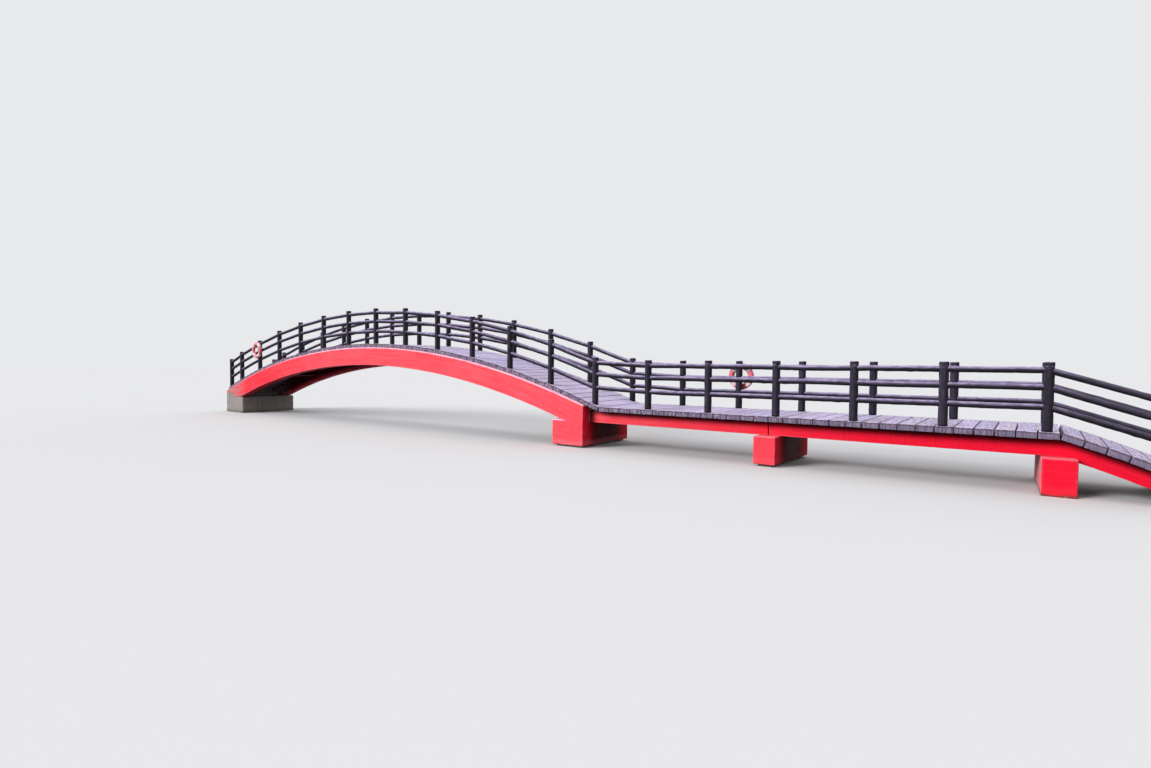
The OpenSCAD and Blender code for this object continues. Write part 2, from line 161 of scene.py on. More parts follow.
# Colours of the finishes
CORAL = srgb(250, 80, 92)
CRIMSON = srgb(240, 16, 50)
SIGNAL_RED = srgb(244, 42, 60)
# Deep red for right-facing faces under the deck: painted shade
DEEP_RED = srgb(150, 10, 28)
RED_STAIN = srgb(96, 24, 32)
CHALK_PINK = srgb(246, 136, 146)
# Pale pink for left-facing faces: painted light from the left, broken by wash streaks
LIT_WASH_PINK = srgb(250, 158, 166)
# Pale pink for painted highlights on tops and the rib ledge, and for rubbed edges
HIGHLIGHT_AND_WEAR_PINK = srgb(252, 190, 210)
# Near-black red for painted shade under the deck, inside the arch and deep in right faces
PAINTED_SHADE_RED = srgb(30, 10, 16)
WORN_PINK = srgb(176, 140, 142)
CONCRETE = srgb(150, 142, 138)
CONCRETE_DARK = srgb(84, 78, 76)
GRIME = srgb(58, 48, 44)
WATER_LINE = srgb(74, 72, 52)
DECK_GREY = srgb(206, 194, 230)
DECK_WARM = srgb(198, 186, 212)
DECK_STAIN = srgb(112, 98, 124)
# Darker grey of the plank ends: painted shade against the lit tops
END_SHADE_GREY = srgb(126, 114, 138)
END_STREAK = srgb(42, 34, 46)
LITTER_STAIN = srgb(128, 76, 64)
LOG_DARK = srgb(21, 17, 27)
LOG_MID = srgb(51, 44, 60)
LOG_PALE = srgb(180, 166, 204)
# Near black for painted shade under the logs and on their right sides
LOG_SHADE = srgb(8, 6, 12)
PRIMER = srgb(140, 62, 56)
BUOY_ORANGE = srgb(206, 66, 36)
BUOY_ROSE = srgb(222, 84, 108)
BUOY_FADED = srgb(246, 190, 196)
BAND_WHITE = srgb(230, 206, 206)
STEEL_GREY = srgb(132, 132, 134)
RUST = srgb(112, 62, 38)
FLOOR_PALE = srgb(202, 202, 203)
FLOOR_BOUNCE = srgb(84, 84, 86)
SKY_PALE = srgb(232, 233, 235)
SOFT_LIGHT = srgb(240, 244, 255)


def make_camera():
    data = bpy.data.cameras.new("photo_camera")
    data.lens = FOCAL_PX / PHOTO_WIDTH_PX * data.sensor_width
    data.clip_end = VIEW_DISTANCE
    yaw, pitch, roll = (math.radians(a) for a in (CAMERA_YAW, CAMERA_PITCH, CAMERA_ROLL))
    forward = Vector((math.sin(yaw) * math.cos(pitch), math.cos(yaw) * math.cos(pitch), math.sin(pitch)))
    level = Vector((math.cos(yaw), -math.sin(yaw), 0))
    upright = level.cross(forward)
    right = math.cos(roll) * level + math.sin(roll) * upright
    up = -math.sin(roll) * level + math.cos(roll) * upright
    camera = bpy.data.objects.new("photo_camera", data)
    camera.matrix_world = Matrix.Translation(CAMERA_AT) @ Matrix((right, up, -forward)).transposed().to_4x4()
    bpy.context.scene.collection.objects.link(camera)
    bpy.context.scene.camera = camera


def connect(made, inputs):
    """Sets inputs of a node to values, or links them to sockets."""
    for key, value in inputs.items():
        if isinstance(value, bpy.types.NodeSocket):
            made.id_data.links.new(value, made.inputs[key])
        else:
            made.inputs[key].default_value = value


def node(kind, inputs, tree=None, **settings):
    """A new node with its settings and inputs, in the tree of its sockets or in the one given."""
    if tree is None:
        tree = next(value.id_data for value in inputs.values() if isinstance(value, bpy.types.NodeSocket))
    made = tree.nodes.new(kind)
    for name, value in settings.items():
        setattr(made, name, value)
    connect(made, inputs)
    return made


def calc(operation, first, second=0.0):
    return node("ShaderNodeMath", {0: first, 1: second}, operation=operation).outputs[0]


plus = partial(calc, "ADD")
minus = partial(calc, "SUBTRACT")
one_over = partial(calc, "DIVIDE", 1.0)


def times(*values):
    """The product of all values."""
    return reduce(partial(calc, "MULTIPLY"), values)


def vector_calc(operation, first, second):
    return node("ShaderNodeVectorMath", {0: first, 1: second}, operation=operation).outputs[0]


def scaled(vector, factor):
    return node("ShaderNodeVectorMath", {0: vector, "Scale": factor}, operation="SCALE").outputs[0]


def smooth(value, start, end, low=0.0, high=1.0):
    """Turns smoothly from low to high while value goes from start to end."""
    inputs = {"Value": value, "From Min": start, "From Max": end, "To Min": low, "To Max": high}
    return node("ShaderNodeMapRange", inputs, interpolation_type="SMOOTHSTEP").outputs[0]


def ranged(value, low, high):
    """Turns smoothly from low to high while value goes from 0 to 1."""
    return smooth(value, 0.0, 1.0, low, high)


def noise(vector, scale, detail=3.0, roughness=0.55, distortion=0.0):
    """A cloudy pattern around 0.5."""
    inputs = {"Vector": vector, "Scale": scale, "Detail": detail, "Roughness": roughness,
              "Distortion": distortion}
    return node("ShaderNodeTexNoise", inputs).outputs[0]


def cells(vector, scale, **settings):
    """A pattern of cells, each with its own colour and the distance from its point."""
    return node("ShaderNodeTexVoronoi", {"Vector": vector, "Scale": scale}, **settings).outputs


def split(vector):
    return node("ShaderNodeSeparateXYZ", {0: vector}).outputs


def joined(x, y, z):
    return node("ShaderNodeCombineXYZ", {0: x, 1: y, 2: z}).outputs[0]


def blend(share, first, second, mode="MIX"):
    """Mixes two colours."""
    made = node("ShaderNodeMix", {0: share, 6: first, 7: second}, data_type="RGBA", blend_type=mode)
    return made.outputs[2]


def layered(colour, *layers):
    """Lays tones over a colour in turn, each as strong as the product of its amounts."""
    for tone, *amounts in layers:
        colour = blend(times(*amounts), colour, tone)
    return colour


def new_group(kind, name, inputs, build):
    """A node group. Each input comes with its default number or its kind, and build takes the
    inputs and gives the outputs by name."""
    tree = bpy.data.node_groups.new(name, kind)
    number_kinds = {float: "Float", int: "Int"}
    for label, value in inputs.items():
        socket_kind = number_kinds.get(type(value), value)
        socket = tree.interface.new_socket(label, in_out="INPUT", socket_type="NodeSocket" + socket_kind)
        if socket_kind != value:
            socket.default_value = value
    results = build(tree.nodes.new("NodeGroupInput").outputs)
    output_kind = "Float" if kind == "ShaderNodeTree" else "Geometry"
    for label in results:
        tree.interface.new_socket(label, in_out="OUTPUT", socket_type="NodeSocket" + output_kind)
    connect(tree.nodes.new("NodeGroupOutput"), results)
    return tree


shader_group = partial(new_group, "ShaderNodeTree")
geometry_group = partial(new_group, "GeometryNodeTree")


def run_off_streaks(given):
    """Marks of water that ran down: stretched patches, longest along Z."""
    x, y, z = split(given["Place"])
    across = one_over(given["Width"])
    down = one_over(given["Length"])
    fine = noise(joined(times(x, across), times(y, across), times(z, down)), 1.0, 4.0, 0.6, 0.3)
    start = minus(0.72, times(given["Share"], 0.4))
    return {"Mask": smooth(fine, start, plus(start, 0.16))}


def soft_blotches(given):
    """Soft patches of a given size that cover a given share of the surface."""
    patches = noise(given["Place"], one_over(given["Size"]), 5.0, 0.6, 0.2)
    start = minus(0.75, times(given["Share"], 0.5))
    return {"Mask": smooth(patches, start, plus(start, given["Softness"]))}


def pitted_skin(given):
    """The skin of cast concrete: grit, soft waves and small air holes."""
    grit = noise(given["Place"], one_over(given["Grit"]), 2.0)
    waves = noise(given["Place"], 9.0, 3.0)
    pits = cells(given["Place"], one_over(given["Hole"]))
    chosen = smooth(split(pits["Color"])[0], 0.7, 0.75)
    holes = times(chosen, smooth(pits["Distance"], 0.1, 0.2, 1.0, 0.0))
    return {"Height": minus(plus(times(grit, 0.3), times(waves, 0.6)), holes)}


def hairline_cracks(given):
    """Hairline cracks that wander and break off."""
    warp = node("ShaderNodeTexNoise", {"Vector": given["Place"], "Scale": 5.0, "Detail": 4.0})
    bent = vector_calc("ADD", given["Place"], scaled(warp.outputs["Color"], 0.22))
    borders = cells(bent, one_over(given["Spacing"]), feature="DISTANCE_TO_EDGE")
    gap = times(borders["Distance"], given["Spacing"])
    line = smooth(gap, 0.0, given["Width"], 1.0, 0.0)
    return {"Mask": times(line, smooth(noise(given["Place"], 1.7, 2.0), 0.52, 0.6))}


def worn_edges(given):
    """Where an edge is rubbed or chipped: the mesh's edge attribute broken up by patches."""
    patches = noise(given["Place"], one_over(given["Size"]), 5.0, 0.7)
    start = minus(0.75, times(given["Share"], 0.5))
    broken = smooth(patches, start, plus(start, 0.07))
    return {"Mask": times(broken, smooth(given["Edge"], 0.15, 0.75))}


def moulded_grain(given):
    """Timber grain moulded into concrete, along the first axis of the grain coordinates."""
    run, side, rise = split(given["Grain"])
    shifted_side = plus(side, times(noise(given["Grain"], 3.0, 2.0), 0.05))
    stretched = joined(times(run, given["Along"]), times(shifted_side, given["Across"]),
                       times(rise, given["Across"]))
    lines = noise(stretched, 1.0, 4.0, 0.65, 0.4)
    return {"Height": lines, "Grooves": smooth(lines, 0.42, 0.3)}


# Effects that several materials share, with their sizes in metres
STREAKS = shader_group(
    "run_off_streaks", {"Place": "Vector", "Width": 0.04, "Length": 0.6, "Share": 0.5}, run_off_streaks)
BLOTCHES = shader_group(
    "soft_blotches", {"Place": "Vector", "Size": 0.3, "Share": 0.5, "Softness": 0.1}, soft_blotches)
PITTED = shader_group("pitted_skin", {"Place": "Vector", "Grit": 0.006, "Hole": 0.035}, pitted_skin)
CRACKS = shader_group("hairline_cracks", {"Place": "Vector", "Spacing": 0.8, "Width": 0.004}, hairline_cracks)
WORN = shader_group(
    "worn_edges", {"Place": "Vector", "Edge": 0.0, "Size": 0.08, "Share": 0.5}, worn_edges)
GRAIN = shader_group("moulded_grain", {"Grain": "Vector", "Along": 2.0, "Across": 60.0}, moulded_grain)


def placed(group, **inputs):
    """The outputs of a shader group placed in a material."""
    titled = {label.title(): value for label, value in inputs.items()}
    return node("ShaderNodeGroup", titled, node_tree=group).outputs


def mask(group, here, **inputs):
    return placed(group, place=here, **inputs)["Mask"]


def attribute(tree, name, output="Fac"):
    made = node("ShaderNodeAttribute", {}, tree, attribute_name=name, attribute_type="GEOMETRY")
    return made.outputs[output]


def normal_of(tree):
    """The X, Y and Z of the direction that a surface faces."""
    return split(node("ShaderNodeNewGeometry", {}, tree).outputs["Normal"])


def new_material(name, recipe, depth, strength=1.0, specular=0.5):
    """A material. Its recipe gives what goes into the shader by the names of its sockets, and the
    height of its bump."""
    material = bpy.data.materials.new(name)
    material.use_nodes = True
    tree = material.node_tree
    surface = recipe(tree, node("ShaderNodeTexCoord", {}, tree).outputs["Object"])
    bump = node("ShaderNodeBump", {
        "Height": surface.pop("Height"), "Distance": depth, "Strength": strength})
    connect(tree.nodes["Principled BSDF"], {
        **surface, "Normal": bump.outputs["Normal"], "Specular IOR Level": specular})
    return material


def faded_red_paint(tree, here):
    """Red masonry paint, bleached to coral on the arch and deeper towards the ramp, with painted shade on
    right faces and under the deck, and painted light on left faces, tops and ledges.
    """
    x, y, z = split(here)
    drop = attribute(tree, "drop")
    edge = attribute(tree, "edge")
    normal_x, _, normal_z = normal_of(tree)
    fade = smooth(plus(x, times(noise(here, 0.6), 2.0)), x_bend - 1.5, x_ramp - 1.5)
    chalky = ranged(fade, 1.0, 0.15)
    left_end = smooth(x, cad_low.x + 7.5, cad_low.x + 1.5, 0.0, 0.95)
    clouds = smooth(noise(here, 1.3, 4.0), 0.3, 0.7)
    strokes = noise(joined(times(x, 1.2), times(y, 6.0), times(drop, 30.0)), 1.0, 3.0, 0.6)

    pier_front = times(smooth(z, pier_top + 0.04, pier_top), smooth(x, x_ramp - 2, x_ramp - 4))
    # Right-facing faces deeper red, darker under the deck and darkest deep in: painted shade
    right_side = smooth(normal_x, 0.4, 0.9)
    under_deck = times(smooth(y, -half_w + 0.05, -half_w + 0.55, 0.0, 0.95),
                       smooth(y, half_w - 0.5, half_w, 1.0, 0.3))
    deep_in = smooth(calc("ABSOLUTE", y), half_w - 0.2, 0.35, 0.0, 0.85)
    drips = mask(STREAKS, here, width=0.045, length=1.2, share=0.8)
    # Left-facing faces paler: painted light from the left, broken by wash streaks
    left_light_and_wash = times(smooth(normal_x, -0.75, -0.97), ranged(drips, 0.6, 1.0))

    streaks = mask(STREAKS, here, width=0.05, length=0.9, share=0.42)
    below_top = smooth(drop, 0.0, 0.42, 1.0, 0.0)
    dust = mask(BLOTCHES, here, size=0.35, share=0.35, softness=0.25)
    # Up-facing faces paler, most above the piers: painted light from above
    lit_top = times(smooth(normal_z, 0.0, 0.9), smooth(z, pier_top + 0.02, pier_top + 0.05, 0.3, 0.8))
    rubbed = times(smooth(edge, 0.1, 0.8), smooth(noise(here, 7.0), 0.35, 0.6))
    on_arch = times(smooth(x, x_bend, x_bend - 0.4), smooth(x, cad_low.x + 3.5, cad_low.x + 7, 0.3, 1.0))
    # A patchy pale line along the top ledge of the arch ribs: painted highlight
    ledge = times(smooth(drop, 0.05, 0.025), on_arch)
    ledge_highlight = times(ledge, smooth(noise(here, 3.0), 0.3, 0.5, 0.4, 0.95))
    # Painted shade from the dark attribute, broken up a little by noise
    shadow = plus(attribute(tree, "dark"), times(noise(here, 5.0), 0.16))
    foot_of_arch = smooth(x, cad_low.x + 1.9, cad_low.x + 0.4)
    scuffs = mask(BLOTCHES, here, size=0.12, share=0.74, softness=0.12)

    lap = plus(z, times(noise(here, 4.0), 0.16))
    lime = times(smooth(lap, 0.3, 0.2), smooth(lap, 0.1, 0.17))
    wet = smooth(lap, 0.16, 0.08)
    cracks = mask(CRACKS, here, spacing=1.1, width=0.004)
    chips = mask(WORN, here, edge=edge, size=0.07, share=0.34)
    colour = layered(
        blend(fade, CORAL, CRIMSON),
        (SIGNAL_RED, left_end),
        (CHALK_PINK, clouds, chalky, 0.12),
        (CHALK_PINK, smooth(strokes, 0.5, 0.72), chalky, 0.24),
        (CRIMSON, smooth(strokes, 0.46, 0.3, 0.0, 0.3)),
        (CORAL, pier_front, 0.6),
        (CRIMSON, right_side, 0.85),
        (DEEP_RED, right_side, under_deck),
        (PAINTED_SHADE_RED, right_side, deep_in),
        (LIT_WASH_PINK, left_light_and_wash),
        (RED_STAIN, streaks, below_top, 0.36),
        (RED_STAIN, dust, 0.12),
        (HIGHLIGHT_AND_WEAR_PINK, lit_top),
        (HIGHLIGHT_AND_WEAR_PINK, rubbed, chalky, 0.3),
        (HIGHLIGHT_AND_WEAR_PINK, ledge_highlight),
        (PAINTED_SHADE_RED, smooth(shadow, 0.13, 1.1, 0.0, 0.95)),
        (WORN_PINK, foot_of_arch, scuffs, 0.85),
        (CHALK_PINK, lime, chalky, 0.3),
        (WATER_LINE, wet, 0.75),
        (GRIME, cracks, 0.55),
        (CONCRETE, chips, 0.85))
    skin = placed(PITTED, place=here, grit=0.006, hole=0.06)["Height"]
    return {"Base Color": colour, "Height": minus(skin, plus(chips, cracks)),
            "Roughness": plus(ranged(clouds, 0.6, 0.74), times(chips, 0.2))}


def bare_concrete(tree, here):
    """Unpainted concrete, cloudy, streaked and chipped, damp at the ground."""
    clouds = mask(BLOTCHES, here, size=0.5, share=0.5, softness=0.35)
    streaks = mask(STREAKS, here, width=0.06, length=0.8, share=0.5)
    damp = smooth(plus(split(here)[2], times(noise(here, 4.0), 0.2)), 0.3, 0.1)
    chips = mask(WORN, here, edge=attribute(tree, "edge"), size=0.09, share=0.5)
    cracks = mask(CRACKS, here, spacing=0.9, width=0.006)
    colour = layered(
        CONCRETE,
        (CONCRETE_DARK, clouds, 0.4),
        (GRIME, streaks, 0.45),
        (WATER_LINE, damp, 0.7),
        (CONCRETE, chips, 0.5),
        (GRIME, cracks, 0.6))
    skin = placed(PITTED, place=here, grit=0.007, hole=0.05)["Height"]
    return {"Base Color": colour, "Height": minus(skin, cracks), "Roughness": ranged(damp, 0.88, 0.55)}


def plank_concrete(tree, here):
    """Lavender grey planks cast with a timber grain, dark in the joints, stained at the ends, and with
    painted shade on their end faces.
    """
    x, y, z = split(here)
    edge = attribute(tree, "edge")
    shade = attribute(tree, "shade")
    in_plank = attribute(tree, "grain", "Vector")
    grain = placed(GRAIN, grain=in_plank, along=2.2, across=55.0)
    tint = calc("FRACT", times(shade, 7.3))
    tone = joined(*[ranged(shade, low, 1.06) for low in (0.84, 0.84, 0.86)])
    wear = mask(BLOTCHES, here, size=0.22, share=0.5, softness=0.3)
    trodden = smooth(x, x_bend, x_ramp, 0.15, 0.6)
    smears = smooth(noise(joined(times(x, 22.0), times(y, 2.5), z), 1.0, 4.0, 0.6), 0.42, 0.66)
    outside = smooth(calc("ABSOLUTE", y), half_w - 0.16, half_w)
    spots = mask(BLOTCHES, here, size=0.06, share=0.5, softness=0.2)
    litter = mask(BLOTCHES, here, size=0.09, share=0.24, softness=0.06)

    end_face = smooth(calc("ABSOLUTE", normal_of(tree)[1]), 0.45, 0.85)
    runs = mask(STREAKS, here, width=0.03, length=0.5, share=0.7)
    streaked = smooth(x, x_ramp - 1, x_ramp + 0.2, 0.66, 0.25)
    on_arch = times(end_face, smooth(x, x_ramp - 1.5, x_bend, 0.15, 1.0))
    flecks = mask(BLOTCHES, here, size=0.045, share=0.44, softness=0.08)
    leaves = mask(BLOTCHES, here, size=0.07, share=0.4, softness=0.06)
    _, across, height = split(in_plank)
    rim = times(end_face, smooth(height, plank_t - 0.04, plank_t - 0.02))
    rotten = smooth(noise(here, 6.0), 0.46, 0.62)
    joint = smooth(calc("ABSOLUTE", across), PLANK_PITCH / 2 - 0.016, PLANK_PITCH / 2 - 0.009)
    rubbed = mask(WORN, here, edge=edge, size=0.05, share=0.5)
    colour = layered(
        blend(1.0, blend(tint, DECK_GREY, DECK_WARM), tone, "MULTIPLY"),
        (DECK_STAIN, grain["Grooves"], 0.36),
        (DECK_STAIN, wear, 0.22),
        (DECK_STAIN, trodden, smears),
        (DECK_STAIN, outside, spots, 0.4),
        (LITTER_STAIN, outside, litter, 0.55),
        # End faces darker than the tops: painted shade
        (END_SHADE_GREY, end_face),
        (END_STREAK, end_face, runs, streaked),
        (DECK_WARM, on_arch, flecks, 0.55),
        (LITTER_STAIN, on_arch, leaves, 0.45),
        (END_STREAK, rim, 0.6),
        (LITTER_STAIN, rim, rotten, 0.45),
        (END_STREAK, joint, ranged(end_face, 0.5, 0.9)),
        (GRIME, smooth(edge, 0.1, 0.9), 0.4),
        (DECK_GREY, rubbed, 0.6))
    skin = placed(PITTED, place=here, grit=0.005, hole=0.04)["Height"]
    return {"Base Color": colour, "Height": plus(times(skin, 0.5), times(grain["Height"], 1.4)),
            "Roughness": ranged(wear, 0.78, 0.62)}


def log_concrete(tree, here, pale_top_from):
    """Posts or rails cast like logs: dark stained, pale on top as painted light where they face up more than
    the threshold given, and dark below and on their right sides as painted shade.
    """
    normal_x, _, normal_z = normal_of(tree)
    grain = placed(GRAIN, grain=attribute(tree, "grain", "Vector"), along=5.0, across=26.0)
    mottled = mask(BLOTCHES, here, size=0.035, share=0.5, softness=0.2)
    off_ramp = smooth(split(here)[0], x_ramp - 0.5, x_ramp + 0.4, 1.0, 0.2)
    worn_patches = mask(BLOTCHES, here, size=0.16, share=0.8, softness=0.3)
    # Pale tops in patches, less on the ramp: painted light from above, broken up like wear
    top_light_and_wear = times(smooth(normal_z, pale_top_from, 0.9), off_ramp, ranged(worn_patches, 0.6, 1.0))
    # Darker below and on right-facing sides: painted shade, not damp
    underneath = smooth(normal_z, 0.1, -0.6, 0.0, 0.8)
    damp = calc("MAXIMUM", underneath, smooth(normal_x, 0.0, 0.8, 0.0, 0.7))
    chips = mask(BLOTCHES, here, size=0.07, share=0.06, softness=0.03)
    rubbed = mask(WORN, here, edge=attribute(tree, "edge"), size=0.04, share=0.55)
    colour = layered(
        blend(ranged(attribute(tree, "shade"), 0.25, 0.75), LOG_DARK, LOG_MID),
        (LOG_MID, mottled, 0.4),
        (LOG_DARK, grain["Grooves"], 0.6),
        # Pale on the grain ridges: painted highlight
        (LOG_PALE, smooth(grain["Height"], 0.52, 0.72, 0.0, 0.3)),
        (LOG_PALE, top_light_and_wear, 0.9),
        (LOG_SHADE, damp),
        (PRIMER, chips, 0.7),
        (LOG_PALE, rubbed, 0.55))
    skin = placed(PITTED, place=here, grit=0.005, hole=0.03)["Height"]
    return {"Base Color": colour, "Height": plus(times(skin, 0.4), times(grain["Height"], 1.5)),
            "Roughness": ranged(top_light_and_wear, 0.58, 0.75)}


def buoy_plastic(tree, here):
    """Orange plastic faded to rose, kept orange on faces that look down and right as painted shade and paler
    in patches on those that look up and left as painted light and sun-fading, with scuffs and grime.
    """
    normal_x, _, normal_z = normal_of(tree)
    # High on faces that look down and to the right: orange there as painted shade, pale where low as painted
    # light
    shaded_facing = plus(minus(times(normal_x, 0.5), normal_z), noise(here, 7.0))
    bleached = mask(BLOTCHES, here, size=0.12, share=0.6, softness=0.3)
    sunlit = times(ranged(bleached, 0.4, 1.0), smooth(shaded_facing, 0.3, 1.2, 1.0, 0.1))
    near_side = smooth(split(here)[1], 0.5, -0.5, 0.35, 0.95)
    dirt = mask(STREAKS, here, width=0.02, length=0.2, share=0.4)
    colour = layered(
        blend(smooth(shaded_facing, 0.4, 1.2), BUOY_ROSE, BUOY_ORANGE),
        (BUOY_FADED, sunlit, near_side),
        (GRIME, dirt, 0.25))
    return {"Base Color": colour, "Height": noise(here, 160.0), "Roughness": ranged(bleached, 0.32, 0.5)}


def band_film(tree, here):
    """Reflecting band, a woven film gone grey."""
    dirt = mask(BLOTCHES, here, size=0.04, share=0.5, softness=0.3)
    return {"Base Color": layered(BAND_WHITE, (CONCRETE_DARK, dirt, 0.35)),
            "Height": cells(here, 260.0)["Distance"], "Roughness": ranged(dirt, 0.3, 0.55)}


def hook_steel(tree, here):
    """Galvanized bar with rust in patches."""
    rust = mask(BLOTCHES, here, size=0.03, share=0.5, softness=0.12)
    return {"Base Color": blend(rust, STEEL_GREY, RUST), "Height": noise(here, 240.0),
            "Metallic": ranged(rust, 0.85, 0.1), "Roughness": ranged(rust, 0.4, 0.85)}


# Finishes with the depth of their bump in metres, the first two paired with their slot
PAINTED = (new_material("faded_red_paint", faded_red_paint, 0.003, 0.7, 0.06), "painted_concrete")
BARE = (new_material("bare_concrete", bare_concrete, 0.005), "bare_concrete")
PLANK = new_material("plank_concrete", plank_concrete, 0.004, specular=0.2)
POST_LOG = new_material("post_concrete", partial(log_concrete, pale_top_from=0.12), 0.005, specular=0.15)
RAIL_LOG = new_material("rail_concrete", partial(log_concrete, pale_top_from=-0.05), 0.005, specular=0.15)
BUOY = new_material("buoy_plastic", buoy_plastic, 0.0006)
BAND = new_material("band_film", band_film, 0.0005)
STEEL = new_material("hook_steel", hook_steel, 0.0006)


def named(geometry, name, kind="FLOAT"):
    """A named value of the points of geometry."""
    made = node("GeometryNodeInputNamedAttribute", {"Name": name}, geometry.id_data, data_type=kind)
    return made.outputs[0]


def stored(geometry, name, value, kind="FLOAT", domain="POINT"):
    inputs = {"Geometry": geometry, "Name": name, "Value": value}
    return node("GeometryNodeStoreNamedAttribute", inputs, data_type=kind, domain=domain).outputs[0]


def random_value(low, high, seed, **identity):
    inputs = {2: low, 3: high, "Seed": seed, **identity}
    return node("FunctionNodeRandomValue", inputs, data_type="FLOAT").outputs[1]


def position_in(geometry):
    return node("GeometryNodeInputPosition", {}, geometry.id_data).outputs[0]


def shifted(geometry, offset):
    return node("GeometryNodeSetPosition", {"Geometry": geometry, "Offset": offset}).outputs[0]


def pushed(geometry, distance):
    """Moves each point of geometry outwards along its normal."""
    normal = node("GeometryNodeInputNormal", {}, geometry.id_data).outputs[0]
    return shifted(geometry, scaled(normal, distance))


def finished(geometry, given):
    """Realizes, smooths and gives the material, as each tree ends."""
    whole = node("GeometryNodeRealizeInstances", {"Geometry": geometry}).outputs[0]
    shaded = node("GeometryNodeSetShadeSmooth", {"Geometry": whole}).outputs[0]
    painted = node("GeometryNodeSetMaterial", {"Geometry": shaded, "Material": given["Material"]})
    return {"Geometry": painted.outputs[0]}


def weathering(given):
    """Waves a surface, sinks soft hollows into it and chips its edges."""
    here = position_in(given["Geometry"])
    wave = noise(here, one_over(given["Wave Size"]), 2.0)
    hollow = noise(here, one_over(given["Hollow Size"]), 3.0)
    chip = noise(here, one_over(given["Chip Size"]), 3.0, 0.6)
    start = minus(0.78, times(given["Chip Share"], 0.5))
    broken = smooth(chip, start, plus(start, 0.12))
    depth = plus(times(wave, given["Wave Depth"]), times(hollow, given["Hollow Depth"]))
    chipped = times(broken, named(given["Geometry"], "edge"), given["Chip Depth"])
    return {"Geometry": pushed(given["Geometry"], times(plus(depth, chipped), -1.0))}


# What the weathering of a cast surface and the bark of a log take: sizes and depths in metres
WEATHER_INPUTS = {"Wave Size": 0.5, "Wave Depth": 0.003, "Hollow Size": 0.09, "Hollow Depth": 0.002,
                  "Chip Size": 0.06, "Chip Depth": 0.012, "Chip Share": 0.5}
BARK_INPUTS = {"Wave Depth": 0.006, "Groove Depth": 0.004, "Knot Height": 0.006}
WEATHERING = geometry_group("weathering", {"Geometry": "Geometry", **WEATHER_INPUTS}, weathering)


def weathered(geometry, given):
    """Passes geometry through the weathering group, with the sizes that the tree was given."""
    inputs = {label: given[label] for label in WEATHER_INPUTS}
    inputs["Geometry"] = geometry
    return node("GeometryNodeGroup", inputs, node_tree=WEATHERING).outputs[0]


def weathered_masonry(given):
    """Weathers a cast or painted block."""
    return finished(weathered(given["Geometry"], given), given)


def instanced(points, given, rotation, shade_seed):
    """A copy of the blank on each point, each with its own shade and its own stretch of grain."""
    blank = node("GeometryNodeObjectInfo", {"Object": given["Blank"]}, transform_space="ORIGINAL")
    rows = node("GeometryNodeInstanceOnPoints", {
        "Points": points, "Instance": blank.outputs["Geometry"], "Rotation": rotation}).outputs[0]
    rows = stored(rows, "shade", random_value(0.0, 1.0, shade_seed), domain="INSTANCE")
    whole = node("GeometryNodeRealizeInstances", {"Geometry": rows}).outputs[0]
    away = joined(times(named(whole, "shade"), 40.0), 0.0, 0.0)
    grain = vector_calc("ADD", named(whole, "grain", "FLOAT_VECTOR"), away)
    return stored(whole, "grain", grain, "FLOAT_VECTOR")


def plank_row(given):
    """Lays a plank on each station, turned to the tilt of the station, each a little off true."""
    slip = random_value(-1.0, 1.0, given["Seed"])
    sink = random_value(-1.0, 0.0, plus(given["Seed"], 1))
    offset = joined(0.0, times(slip, given["Slip"]), times(sink, times(given["Slip"], 0.6)))
    points = shifted(given["Geometry"], offset)
    turn = random_value(-1.0, 1.0, plus(given["Seed"], 2))
    tilted = joined(0.0, named(points, "tilt"), times(turn, given["Twist"]))
    whole = instanced(points, given, tilted, plus(given["Seed"], 3))
    return finished(weathered(whole, given), given)


def grooved(geometry, given):
    """Waves, bark grooves and knots on a log, along its grain coordinates."""
    run, side, rise = split(named(geometry, "grain", "FLOAT_VECTOR"))
    waves = noise(joined(times(run, 4.0), side, rise), 1.0, 2.0)
    bark = joined(times(run, 7.0), times(side, 3.4), times(rise, 3.4))
    grooves = smooth(noise(bark, 1.0, 2.0), 0.55, 0.38)
    spots = cells(joined(times(run, 3.2), side, rise), 1.0)
    chosen = smooth(split(spots["Color"])[0], 0.6, 0.65)
    knots = times(chosen, smooth(spots["Distance"], 0.3, 0.1))
    sink = plus(times(waves, given["Wave Depth"]), times(grooves, given["Groove Depth"]))
    return pushed(geometry, minus(times(knots, given["Knot Height"]), sink))


def post_row(given):
    """Stands a log post on each station, turned at random, its foot shaped to the slope of the deck."""
    here = position_in(given["Geometry"])
    points = stored(given["Geometry"], "stand", here, "FLOAT_VECTOR")
    spin = joined(0.0, 0.0, random_value(0.0, math.tau, given["Seed"]))
    whole = grooved(instanced(points, given, spin, plus(given["Seed"], 1)), given)
    reach = split(vector_calc("SUBTRACT", here, named(whole, "stand", "FLOAT_VECTOR")))[0]
    fall = times(calc("TANGENT", named(whole, "tilt")), reach)
    slope = times(fall, named(whole, "foot"), -1.0)
    return finished(shifted(whole, joined(0.0, 0.0, slope)), given)


